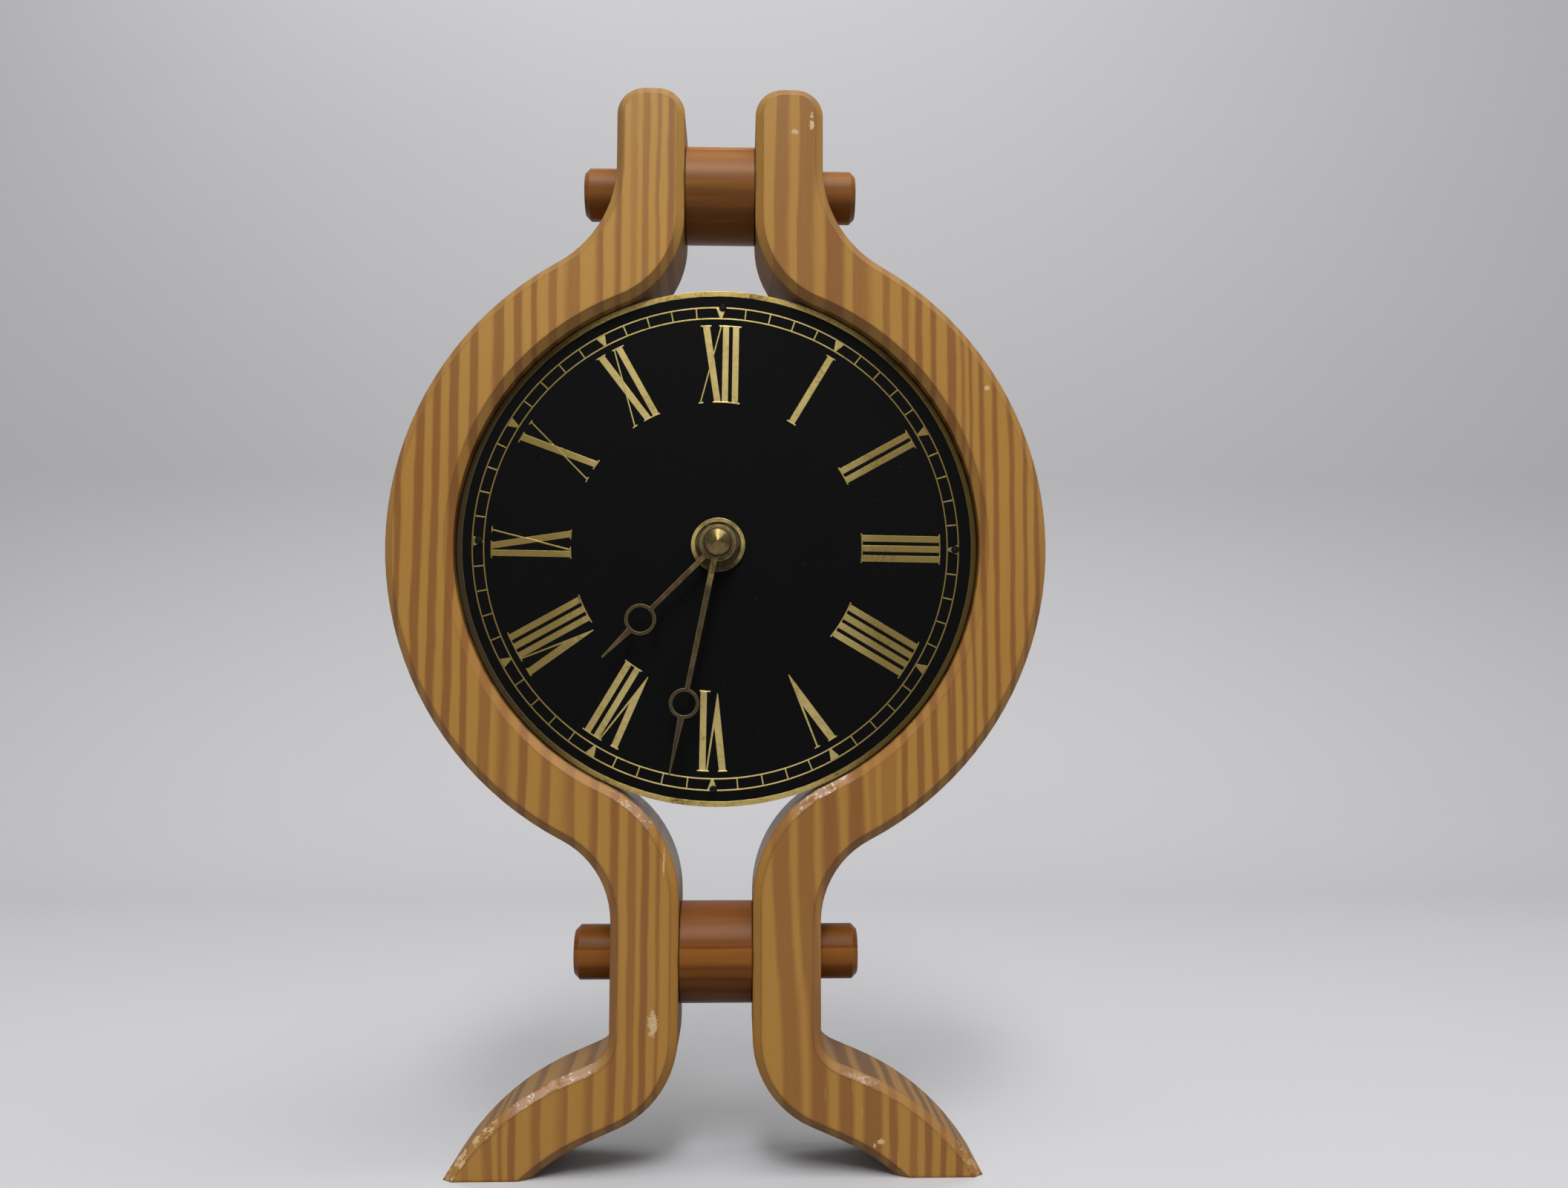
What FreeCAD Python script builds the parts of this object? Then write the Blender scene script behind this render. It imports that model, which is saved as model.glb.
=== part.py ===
import FreeCAD, Part
import math
import os

# Table clock: two curved wooden uprights, joined by two dowels, hold a round dial
# and the battery movement behind it. Millimetres, +Z up, front towards -Y.
# The origin is on the floor, at the middle of the overall width and depth.

# Wooden frame
dial_diameter = 150.0
dial_lift = 101.0             # dial's lowest edge above the floor
top_rise = 60.0               # uprights' tops above the dial's highest edge
upright_depth = 32.0          # front to back
bow_width = 19.2              # seen from the front, beside the dial
top_width = 19.8              # of the straight above the dial
leg_width = 19.1              # of the straight below the dial
upright_gap = 20.8            # between the straight inner faces
dial_play = 0.4               # radial gap between dial and uprights
upper_neck_outer = 34.0       # hollow curve from the top to the bow
upper_neck_inner = 28.5       # round curve on the dial's side of it
lower_neck_outer = 25.5       # hollow curve from the bow to the leg
lower_neck_inner = 35.5       # round curve on the dial's side of it
top_radius = 8.0
arris_bevel = 2.3             # bevel along the front and back edges
heel_height = 38.0            # height where the leg starts to turn out
heel_radius = 27.0            # inner side of the turn
heel_turn = 67.0              # degrees
foot_span = 149.0             # tip to tip
sole_length = 24.0
foot_straight = 9.0           # straight stretch after the heel

# Crossbars
upper_bar_rise = 32.5         # axis above the dial's highest edge
lower_bar_drop = 42.1         # axis below the dial's lowest edge
dowel_diameter = 15.6
dowel_length = 81.0
dowel_chamfer = 1.5
spacer_diameter = 28.8
spacer_edge = 0.3
glue_gap = 0.05

# Dial and its backing
dial_recess = 5.5             # dial face behind the uprights' front faces
dial_thickness = 0.7
dial_turn = 0.8               # degrees, the dial sits turned a little clockwise
backing_thickness = 10.0
backing_opening_play = 1.0
upright_pin_radius = 70.1     # pins at 12 and 6, from the dial's centre
level_pin_radius = 68.8       # pins at 3 and 9
pin_head_radius = 1.1
pin_head_height = 0.7
pin_radius = 0.5
pin_length = 6.0
pin_hole_play = 0.05

# Hands, shown at about half past seven
hour_hand_angle = 224.9       # degrees clockwise from the top
minute_hand_angle = 191.4
hand_thickness = 0.5
hour_hand_length = 46.2
hour_ring_centre = 30.5
hour_ring_outer = 4.5
hour_ring_inner = 3.3
hour_hub_radius = 5.3
minute_hand_length = 67.0
minute_ring_centre = 47.0
minute_ring_outer = 4.3
minute_ring_inner = 3.2
minute_hub_radius = 4.5
hand_bar_width = 1.9          # at the hub
hand_neck_width = 1.6         # at the ring
hand_spear_width = 2.3        # spear's root, beyond the ring
hand_point_width = 0.3
hour_hand_height = 4.9        # back of the hand above the dial face
minute_hand_height = 7.0
cap_radius = 3.9
cap_rim = 0.8                 # straight rim below the cone
cap_height = 3.0
cap_point_radius = 0.25

# Centre bush and its fastening
bush_radius = 4.0
bush_height = 3.8             # above the dial face
bush_hole_play = 0.1
washer_radius = 7.8
washer_thickness = 0.6         # of its floor, under the nut
washer_rim_width = 1.15
washer_rim_height = 1.1        # above the dial face
nut_across_flats = 11.0
nut_thickness = 2.0
gasket_radius = 9.0
gasket_thickness = 1.0

# Movement case
case_corner = 3.0
wall = 1.4
partition = 1.2               # between the wheels and the battery
cover_edge = 0.5              # bevel round the cover
knob_boss_radius = 7.0        # raised ring of the cover, round the setting shaft
knob_boss_height = 0.2
wheel_room = 0.73             # between the centre wheel and the partition
core_room = 1.0               # above the coil's core
bay_play = 0.15               # around the cell
finger_notch = 16.0

# Battery cell and contacts
cell_radius = 7.25
cell_length = 50.5
cell_cap_radius = 2.7
cell_cap_length = 1.2
cell_lift = 0.4               # above the bay's floor
cell_proud = 0.3              # beyond the case's back
contact_thickness = 0.4
contact_width = 8.0
contact_height = 9.0
contact_gap = 0.1
spring_reach = 2.1            # of the negative contact, out of its wall

# Wheels: tooth counts and modules, in the order of the drive
rotor_teeth = 8
intermediate_teeth = 48
intermediate_pinion_teeth = 8
seconds_teeth = 40
seconds_pinion_teeth = 8
third_teeth = 60
third_pinion_teeth = 8
centre_teeth = 64
cannon_teeth = 10
minute_teeth = 30
minute_pinion_teeth = 10
hour_teeth = 40
setting_teeth = 12
rotor_module = 0.25
intermediate_module = 0.3
seconds_module = 0.25
third_module = 0.3
cannon_module = 0.5
minute_pinion_module = 0.4
third_bearing = 138.0         # direction from the centre to the third wheel
seconds_bearing = 53.0        # from the third wheel to the seconds wheel
intermediate_bearing = 5.0    # from the seconds wheel to the intermediate wheel
rotor_bearing = -25.0         # from the intermediate wheel to the rotor
setting_tooth = 13            # tooth of the minute wheel that meets the setting pinion

# Tooth form: heights in modules, widths as shares of the tooth pitch
wheel_addendum = 0.9
pinion_addendum = 0.8
dedendum = 1.25
wheel_root_width = 0.6
wheel_tip_width = 0.18
pinion_root_width = 0.44
pinion_tip_width = 0.2

# Layers of the movement, counted back from the case's inner front face
wheel_thickness = 1.2
layer_start = 0.4
layer_gap = 0.45
pinion_overlap = 0.15         # a pinion is this much longer than its wheel at each end
pivot_radius = 0.5
pivot_depth = 0.8             # in the wall
arbor_radius = 0.6
end_shake = 0.1
running_play = 0.05
minute_arbor_radius = 1.5
minute_thread_radius = 1.2
hour_pipe_radius = 2.5
hour_pipe_end = 0.2           # pipe stands out of the hour hand
collar_radius = 2.1
collar_thickness = 0.5

# Setting knob
knob_radius = 5.5
knob_length = 3.3
knob_gap = 0.5                # between the knob and the cover
knob_grooves = 12
knob_groove_radius = 0.7
knob_shaft_radius = 1.5

# Drive: stator, coil, rotor, board
rotor_magnet_radius = 3.0
rotor_magnet_length = 2.4
stator_thickness = 1.0
stator_hole_play = 0.4
stator_ring_width = 2.0
stator_arm_width = 3.0
stator_knee_x = 13.4          # where the arms turn towards the coil, from the centre arbor
coil_x = 21.6                 # coil axis, from the centre arbor
coil_low = 7.0
coil_high = 22.0
coil_radius = 3.6
coil_flange_radius = 4.2
coil_flange_thickness = 0.8
core_width = 2.6
core_overhang = 3.6           # core beyond the bobbin, at each end
bobbin_wall = 0.5
stator_post_radius = 1.2
board_thickness = 1.0
board_width = 13.0
board_margin = 0.8
chip_radius = 3.2
chip_shoulder_radius = 2.5
chip_shoulder_height = 0.8
chip_height = 1.2
crystal_radius = 1.5
crystal_length = 8.0
crystal_edge = 0.3

# Worked-out sizes
dial_radius = dial_diameter / 2
dial_height = dial_lift + dial_radius
overall_height = dial_lift + dial_diameter + top_rise
upper_bar_height = dial_lift + dial_diameter + upper_bar_rise
lower_bar_height = dial_lift - lower_bar_drop
inner_radius = dial_radius + dial_play
outer_radius = inner_radius + bow_width
inner_x = upright_gap / 2
top_outer_x = inner_x + top_width
leg_outer_x = inner_x + leg_width
cap_top = minute_hand_height + hand_thickness + cap_height
hand_reach = cap_top - dial_recess          # cap nut's point in front of the uprights
upright_back = (upright_depth + hand_reach) / 2
upright_front = upright_back - upright_depth
dial_front = upright_front + dial_recess
dial_back = dial_front + dial_thickness
case_front = dial_back + gasket_thickness
inside_front = case_front + wall
case_back = inside_front + cell_lift + 2 * cell_radius - cell_proud
inside_back = case_back - wall
room_half = (contact_thickness + cell_length + spring_reach) / 2 + contact_gap
room_high = coil_high + core_overhang + core_room
room_low = -third_module * (centre_teeth / 2 + wheel_addendum) - wheel_room
bay_high = room_low - partition
bay_low = bay_high - 2 * (cell_radius + bay_play)
case_half = room_half + wall
case_low = bay_low - wall
case_high = room_high + wall
dial_centre = FreeCAD.Vector(0, 0, dial_height)
along_x = FreeCAD.Vector(1, 0, 0)
along_y = FreeCAD.Vector(0, 1, 0)


# Drawing helpers: outlines lie in the XZ plane and are extruded along Y

def at(x, z):
    """A point of an outline."""
    return FreeCAD.Vector(x, 0, z)


def polar(radius, degrees):
    """A point of an outline by radius and angle, from +X towards +Z."""
    angle = math.radians(degrees)
    return at(radius * math.cos(angle), radius * math.sin(angle))


def arc(centre, radius, start, end):
    """An arc by its centre, radius and two angles in degrees."""
    middle = (start + end) / 2
    return Part.Arc(
        centre + polar(radius, start),
        centre + polar(radius, middle),
        centre + polar(radius, end),
    )


def tangent_arc(start, direction, end):
    """An arc that leaves start along direction, turning right, and reaches end."""
    normal = FreeCAD.Vector(direction.z, 0, -direction.x)
    chord = end - start
    radius = chord.dot(chord) / (2 * chord.dot(normal))
    centre = start + normal * radius
    middle = ((start + end) * 0.5 - centre).normalize() * radius + centre
    return Part.Arc(start, middle, end)


def closed_face(stretches):
    """A face bounded by points and arcs in order, with straight lines between them."""
    edges = []
    ends = []
    for stretch in stretches:
        if isinstance(stretch, FreeCAD.Vector):
            ends.append((stretch, stretch))
            edges.append(None)
        else:
            ends.append((stretch.StartPoint, stretch.EndPoint))
            edges.append(stretch.toShape())
    outline = []
    for index, edge in enumerate(edges):
        if edge is not None:
            outline.append(edge)
        leave = ends[index][1]
        reach = ends[(index + 1) % len(ends)][0]
        if leave.distanceToPoint(reach) > 1e-6:
            outline.append(Part.makeLine(leave, reach))
    return Part.Face(Part.Wire(outline))


def plate(face, front, back):
    """The face as a plate from one depth to another."""
    flat = face.copy()
    flat.translate(along_y * front)
    return flat.extrude(along_y * (back - front))


def bar(radius, front, back, place=None):
    """A round bar along Y."""
    base = (place or at(0, 0)) + along_y * front
    return Part.makeCylinder(radius, back - front, base, along_y)


def block(low, high, front, back):
    """A box between two corners of an outline."""
    corner = FreeCAD.Vector(low.x, front, low.z)
    return Part.makeBox(high.x - low.x, back - front, high.z - low.z, corner)


def turned(profile, place):
    """A turned piece: (radius, depth) points, closed on its axis, spun about Y."""
    points = [FreeCAD.Vector(radius, depth, 0) for radius, depth in profile]
    face = Part.Face(Part.makePolygon(points + points[:1]))
    piece = face.revolve(FreeCAD.Vector(), along_y, 360)
    piece.translate(place)
    return piece


def stepped(steps, place):
    """A turned bar of (radius, front, back) steps, in order."""
    profile = [(0, steps[0][1])]
    for radius, front, back in steps:
        profile += [(radius, front), (radius, back)]
    profile.append((0, steps[-1][2]))
    return turned(profile, place)


def rounded_rectangle(low, high, radius):
    """A rectangle with rounded corners."""
    return closed_face([
        arc(at(low.x + radius, low.z + radius), radius, 270, 180),
        arc(at(low.x + radius, high.z - radius), radius, 180, 90),
        arc(at(high.x - radius, high.z - radius), radius, 90, 0),
        arc(at(high.x - radius, low.z + radius), radius, 0, -90),
    ])


def joined(first, *others):
    """Shapes that touch or overlap, as one solid."""
    return first.fuse(list(others)).removeSplitter()


# Wooden frame

def neck(straight_x, radius, bow_radius):
    """A curve from the straight at straight_x to the bow: its centre's offsets and its angle."""
    across = straight_x + radius
    rise = math.sqrt((bow_radius + radius) ** 2 - across ** 2)
    return across, rise, math.degrees(math.atan2(rise, across))


def upright_outline():
    """The right upright's outline: top, bow, leg and foot, as one curved band."""
    top = overall_height
    across, rise, top_out = neck(top_outer_x, upper_neck_outer, outer_radius)
    top_out_centre = dial_centre + at(across, rise)
    across, rise, top_in = neck(inner_x, upper_neck_inner, inner_radius)
    top_in_centre = dial_centre + at(across, rise)
    across, rise, leg_out = neck(leg_outer_x, lower_neck_outer, outer_radius)
    leg_out_centre = dial_centre + at(across, -rise)
    across, rise, leg_in = neck(inner_x, lower_neck_inner, inner_radius)
    leg_in_centre = dial_centre + at(across, -rise)
    heel = at(inner_x + heel_radius, heel_height)
    foot_angle = 180 + heel_turn
    foot_way = polar(1, foot_angle + 90)
    heel_outer_radius = heel_radius - leg_width
    heel_outer = heel + polar(heel_outer_radius, foot_angle)
    heel_inner = heel + polar(heel_radius, foot_angle)
    tip = at(foot_span / 2, 0)
    sole_end = at(foot_span / 2 - sole_length, 0)
    arch = tangent_arc(heel_inner + foot_way * foot_straight, foot_way, sole_end)
    arch.reverse()
    return closed_face([
        arc(at(inner_x + top_radius, top - top_radius), top_radius, 180, 90),
        arc(at(top_outer_x - top_radius, top - top_radius), top_radius, 90, 0),
        arc(top_out_centre, upper_neck_outer, 180, 180 + top_out),
        arc(dial_centre, outer_radius, top_out, -leg_out),
        arc(leg_out_centre, lower_neck_outer, 180 - leg_out, 180),
        arc(heel, heel_outer_radius, 180, foot_angle),
        tangent_arc(heel_outer + foot_way * foot_straight, foot_way, tip),
        sole_end,
        arch,
        arc(heel, heel_radius, foot_angle, 180),
        arc(leg_in_centre, lower_neck_inner, 180, 180 - leg_in),
        arc(dial_centre, inner_radius, -leg_in, top_in),
        arc(top_in_centre, upper_neck_inner, 180 + top_in, 180),
    ])


def crossbar(radius, length, height):
    """A round bar along X through the middle of the uprights' depth."""
    middle = (upright_front + upright_back) / 2
    return Part.makeCylinder(radius, length, FreeCAD.Vector(-length / 2, middle, height), along_x)


def make_uprights():
    """Both uprights, bevelled along the front and back edges and drilled for the dowels."""
    right = plate(upright_outline(), upright_front, upright_back)
    arrises = []
    for edge in right.Edges:
        box = edge.BoundBox
        flat = box.YLength < 1e-6
        on_sole = box.ZMax < 1e-6
        if flat and not on_sole:
            arrises.append(edge)
    right = right.makeChamfer(arris_bevel, arrises)
    for height in (upper_bar_height, lower_bar_height):
        right = right.cut(crossbar(dowel_diameter / 2 + glue_gap, overall_height, height))
    left = right.mirror(FreeCAD.Vector(), along_x)
    return left, right


def make_dowel(height):
    """A dowel with chamfered ends."""
    dowel = crossbar(dowel_diameter / 2, dowel_length, height)
    rims = [edge for edge in dowel.Edges if isinstance(edge.Curve, Part.Circle)]
    return dowel.makeChamfer(dowel_chamfer, rims)


def make_spacer(height):
    """A barrel on the dowel that keeps the uprights apart."""
    barrel = crossbar(spacer_diameter / 2, upright_gap, height)
    rims = [edge for edge in barrel.Edges if isinstance(edge.Curve, Part.Circle)]
    barrel = barrel.makeChamfer(spacer_edge, rims)
    return barrel.cut(crossbar(dowel_diameter / 2 + glue_gap, dowel_length, height))


# Dial, backing and the pieces that fasten them

def pin_places():
    """The four pins' places, at 3, 12, 9 and 6 of the turned dial."""
    radii = [level_pin_radius, upright_pin_radius, level_pin_radius, upright_pin_radius]
    return [dial_centre + polar(radius, quarter * 90 - dial_turn) for quarter, radius in enumerate(radii)]


def drill_pins(piece):
    """The piece with a hole for each dial pin."""
    for place in pin_places():
        hole = bar(pin_radius + pin_hole_play, dial_front - 1, dial_back + pin_length, place)
        piece = piece.cut(hole)
    return piece


def make_dial():
    """The thin brass dial, with a hole for the bush and for each pin."""
    disc = bar(dial_radius, dial_front, dial_back, dial_centre)
    disc = disc.cut(bar(bush_radius + bush_hole_play, dial_front - 1, dial_back + 1, dial_centre))
    return drill_pins(disc)


def make_backing():
    """The disc behind the dial, open in the middle for the movement case."""
    back = dial_back + backing_thickness
    disc = bar(dial_radius, dial_back, back, dial_centre)
    half = case_half + backing_opening_play
    low = dial_centre + at(-half, case_low - backing_opening_play)
    high = dial_centre + at(half, case_high + backing_opening_play)
    opening = rounded_rectangle(low, high, case_corner + backing_opening_play)
    return drill_pins(disc.cut(plate(opening, dial_back - 1, back + 1)))


def make_dial_pins():
    """Four round-headed pins through the dial into the backing."""
    pins = []
    bevel = pin_head_height / 2
    for place in pin_places():
        pins.append(turned([
            (0, dial_front - pin_head_height),
            (pin_head_radius - bevel, dial_front - pin_head_height),
            (pin_head_radius, dial_front - pin_head_height + bevel),
            (pin_head_radius, dial_front),
            (pin_radius, dial_front),
            (pin_radius, dial_back + pin_length - pin_radius),
            (0, dial_back + pin_length),
        ], place))
    return Part.makeCompound(pins)


def flat_ring(outer, inner, front, back):
    """A ring round the dial's centre."""
    return bar(outer, front, back, dial_centre).cut(bar(inner, front - 1, back + 1, dial_centre))


def make_washer():
    """The dished washer under the nut, with a raised rim."""
    floor = flat_ring(washer_radius, bush_radius + bush_hole_play, dial_front - washer_thickness, dial_front)
    rim_inner = washer_radius - washer_rim_width
    rim = flat_ring(washer_radius, rim_inner, dial_front - washer_rim_height, dial_front)
    return joined(floor, rim)


def make_nut():
    """The hexagonal nut on the bush."""
    front = dial_front - washer_thickness - nut_thickness
    corner = nut_across_flats / 2 / math.cos(math.radians(30))
    hexagon = Part.makePolygon([dial_centre + polar(corner, side * 60) for side in range(7)])
    nut = plate(Part.Face(hexagon), front, front + nut_thickness)
    return nut.cut(bar(bush_radius + running_play, front - 1, dial_front, dial_centre))


# Hands

def make_hand(length, ring_centre, ring_outer, ring_inner, hub, hole, height, clock_angle):
    """A flat stamped hand: hub, tapered bar, ring and spear, turned to its angle."""
    root = ring_centre + (ring_outer + ring_inner) / 2
    neck = ring_centre - (ring_outer + ring_inner) / 2
    shank = Part.Face(Part.makePolygon([
        at(-hand_bar_width / 2, 0),
        at(hand_bar_width / 2, 0),
        at(hand_neck_width / 2, neck),
        at(-hand_neck_width / 2, neck),
        at(-hand_bar_width / 2, 0),
    ]))
    spear = Part.Face(Part.makePolygon([
        at(-hand_spear_width / 2, root),
        at(hand_spear_width / 2, root),
        at(hand_point_width / 2, length),
        at(-hand_point_width / 2, length),
        at(-hand_spear_width / 2, root),
    ]))
    front = dial_front - height - hand_thickness
    back = dial_front - height
    ring = bar(ring_outer, front, back, at(0, ring_centre))
    hand = joined(bar(hub, front, back), plate(shank, front, back), ring, plate(spear, front, back))
    hand = hand.cut(bar(ring_inner, front - 1, back + 1, at(0, ring_centre)))
    hand = hand.cut(bar(hole, front - 1, back + 1))
    hand.rotate(FreeCAD.Vector(), along_y, clock_angle)
    hand.translate(dial_centre)
    return hand


def make_cap_nut():
    """The pointed nut that holds the minute hand on its arbor."""
    base = dial_front - minute_hand_height - hand_thickness
    cap = turned([
        (0, base),
        (cap_radius, base),
        (cap_radius, base - cap_rim),
        (cap_point_radius, base - cap_height),
        (0, base - cap_height),
    ], dial_centre)
    thread = bar(minute_thread_radius + running_play, base - cap_rim - running_play, base + 1, dial_centre)
    return cap.cut(thread)


# Wheels of the movement

def layer(number):
    """Front and back depth of a wheel in the given layer, 1 being nearest the dial."""
    front = inside_front + layer_start + (number - 1) * (wheel_thickness + layer_gap)
    return front, front + wheel_thickness


def toothed(teeth, module, addendum, root_width, tip_width, aim):
    """A toothed outline with one tooth pointing along aim, in degrees."""
    step = 360 / teeth
    tip = module * (teeth / 2 + addendum)
    root = module * (teeth / 2 - dedendum)
    points = []
    for tooth in range(teeth):
        middle = aim + tooth * step
        points.append(polar(root, middle - root_width / 2 * step))
        points.append(polar(tip, middle - tip_width / 2 * step))
        points.append(polar(tip, middle + tip_width / 2 * step))
        points.append(polar(root, middle + root_width / 2 * step))
    return Part.Face(Part.makePolygon(points + points[:1]))


def wheel(teeth, module, meets, number, place):
    """A wheel with a gap between teeth towards meets, the direction of its pinion."""
    aim = meets + 180 / teeth
    face = toothed(teeth, module, wheel_addendum, wheel_root_width, wheel_tip_width, aim)
    face.translate(place)
    front, back = layer(number)
    return plate(face, front, back)


def pinion(teeth, module, meets, number, place):
    """A pinion with a tooth towards meets, the direction of its wheel."""
    face = toothed(teeth, module, pinion_addendum, pinion_root_width, pinion_tip_width, meets)
    face.translate(place)
    front, back = layer(number)
    return plate(face, front - pinion_overlap, back + pinion_overlap)


def apart(teeth, other_teeth, module):
    """The distance between the axes of two meshed wheels."""
    return module * (teeth + other_teeth) / 2


third_place = dial_centre + polar(apart(third_pinion_teeth, centre_teeth, third_module), third_bearing)
seconds_place = third_place + polar(apart(seconds_pinion_teeth, third_teeth, seconds_module), seconds_bearing)
intermediate_place = seconds_place + polar(
    apart(intermediate_pinion_teeth, seconds_teeth, intermediate_module), intermediate_bearing)
rotor_place = intermediate_place + polar(apart(rotor_teeth, intermediate_teeth, rotor_module), rotor_bearing)
minute_bearing = 0.0
minute_place = dial_centre + polar(apart(cannon_teeth, minute_teeth, cannon_module), minute_bearing)
setting_bearing = minute_bearing + 180 + (setting_tooth + 0.5) * 360 / minute_teeth
setting_place = minute_place + polar(apart(setting_teeth, minute_teeth, cannon_module), setting_bearing)


def arbor(place):
    """A thin arbor across the case, with a pivot at each end."""
    return stepped([
        (pivot_radius, inside_front - pivot_depth, inside_front + end_shake),
        (arbor_radius, inside_front + end_shake, inside_back - end_shake),
        (pivot_radius, inside_back - end_shake, inside_back + pivot_depth),
    ], place)


def make_hour_wheel():
    """The hour wheel and the pipe that carries the hour hand through the bush."""
    toothing = wheel(hour_teeth, minute_pinion_module, minute_bearing, 1, dial_centre)
    front = dial_front - hour_hand_height - hand_thickness - hour_pipe_end
    back = layer(1)[1]
    pipe = bar(hour_pipe_radius, front, back, dial_centre)
    bore = bar(minute_arbor_radius + running_play, front - 1, back + 1, dial_centre)
    return joined(toothing, pipe).cut(bore)


def make_minute_wheel():
    """The minute wheel and its pinion, free on a post of the case."""
    toothing = wheel(minute_teeth, cannon_module, minute_bearing + 180, 2, minute_place)
    small = pinion(minute_pinion_teeth, minute_pinion_module, minute_bearing + 180, 1, minute_place)
    front = layer(1)[0] - pinion_overlap
    back = layer(2)[1]
    hub = bar(arbor_radius * 2, front, back, minute_place)
    bore = bar(arbor_radius + running_play, front - 1, back + 1, minute_place)
    return joined(toothing, small, hub).cut(bore)


def make_minute_arbor():
    """The minute arbor: thread, shank, cannon pinion, seat of the centre wheel and rear pivot."""
    cannon = pinion(cannon_teeth, cannon_module, minute_bearing, 2, dial_centre)
    shoulder = dial_front - minute_hand_height
    thread_end = shoulder - hand_thickness - cap_rim
    seat_back = layer(3)[1] + end_shake
    shaft = stepped([
        (minute_thread_radius, thread_end, shoulder),
        (minute_arbor_radius, shoulder, seat_back),
        (collar_radius, seat_back, seat_back + collar_thickness),
        (arbor_radius, seat_back + collar_thickness, inside_back - end_shake),
        (pivot_radius, inside_back - end_shake, inside_back + pivot_depth),
    ], dial_centre)
    return joined(cannon, shaft)


def make_centre_wheel():
    """The centre wheel, a slipping fit on the minute arbor."""
    toothing = wheel(centre_teeth, third_module, third_bearing, 3, dial_centre)
    front, back = layer(3)
    bore = bar(minute_arbor_radius + running_play, front - 1, back + 1, dial_centre)
    return toothing.cut(bore)


def make_third_wheel():
    """The third wheel with its pinion on the centre wheel."""
    toothing = wheel(third_teeth, seconds_module, seconds_bearing, 4, third_place)
    small = pinion(third_pinion_teeth, third_module, third_bearing + 180, 3, third_place)
    return joined(arbor(third_place), toothing, small)


def make_seconds_wheel():
    """The seconds wheel with its pinion on the third wheel."""
    toothing = wheel(seconds_teeth, intermediate_module, intermediate_bearing, 5, seconds_place)
    small = pinion(seconds_pinion_teeth, seconds_module, seconds_bearing + 180, 4, seconds_place)
    return joined(arbor(seconds_place), toothing, small)


def make_intermediate_wheel():
    """The intermediate wheel with its pinion on the seconds wheel."""
    toothing = wheel(intermediate_teeth, rotor_module, rotor_bearing, 6, intermediate_place)
    small = pinion(
        intermediate_pinion_teeth, intermediate_module, intermediate_bearing + 180, 5, intermediate_place)
    return joined(arbor(intermediate_place), toothing, small)


def magnet_depth():
    """Front and back depth of the rotor's magnet, centred on the stator plate."""
    middle = (layer(3)[0] + layer(3)[1]) / 2
    return middle - rotor_magnet_length / 2, middle + rotor_magnet_length / 2


def make_rotor():
    """The rotor's arbor with its pinion, and the magnet on it."""
    small = pinion(rotor_teeth, rotor_module, rotor_bearing + 180, 6, rotor_place)
    shaft = joined(arbor(rotor_place), small)
    front, back = magnet_depth()
    magnet = bar(rotor_magnet_radius, front, back, rotor_place)
    return shaft, magnet.cut(bar(arbor_radius + glue_gap, front - 1, back + 1, rotor_place))


def make_setting_knob():
    """The knob at the back, its shaft and the pinion that turns the minute wheel."""
    aim = setting_bearing + 180 + 180 / setting_teeth
    face = toothed(setting_teeth, cannon_module, pinion_addendum, pinion_root_width, pinion_tip_width, aim)
    face.translate(setting_place)
    front, back = layer(2)
    knob_front = case_back + knob_gap
    shaft = stepped([
        (pivot_radius, inside_front - pivot_depth, inside_front + end_shake),
        (knob_shaft_radius, inside_front + end_shake, knob_front),
        (knob_radius, knob_front, knob_front + knob_length),
    ], setting_place)
    for groove in range(knob_grooves):
        place = setting_place + polar(knob_radius, groove * 360 / knob_grooves)
        shaft = shaft.cut(bar(knob_groove_radius, knob_front - 1, knob_front + knob_length + 1, place))
    return joined(plate(face, front, back), shaft)


# Movement case and cover

def pivot_places():
    """Every arbor with a pivot in the case's front wall."""
    return [third_place, seconds_place, intermediate_place, rotor_place, setting_place]


def stator_posts():
    """The two posts that the stator's core rests on."""
    return [
        dial_centre + at(coil_x, coil_low - core_overhang / 2),
        dial_centre + at(coil_x, coil_high + core_overhang / 2),
    ]


def case_outline():
    """The case's outline."""
    low = dial_centre + at(-case_half, case_low)
    high = dial_centre + at(case_half, case_high)
    return rounded_rectangle(low, high, case_corner)


def cover_outline():
    """The part of the case's outline that the cover closes."""
    low = dial_centre + at(-case_half, bay_high)
    high = dial_centre + at(case_half, case_high)
    keep = block(low, high, -1, 1)
    return case_outline().common(keep)


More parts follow.
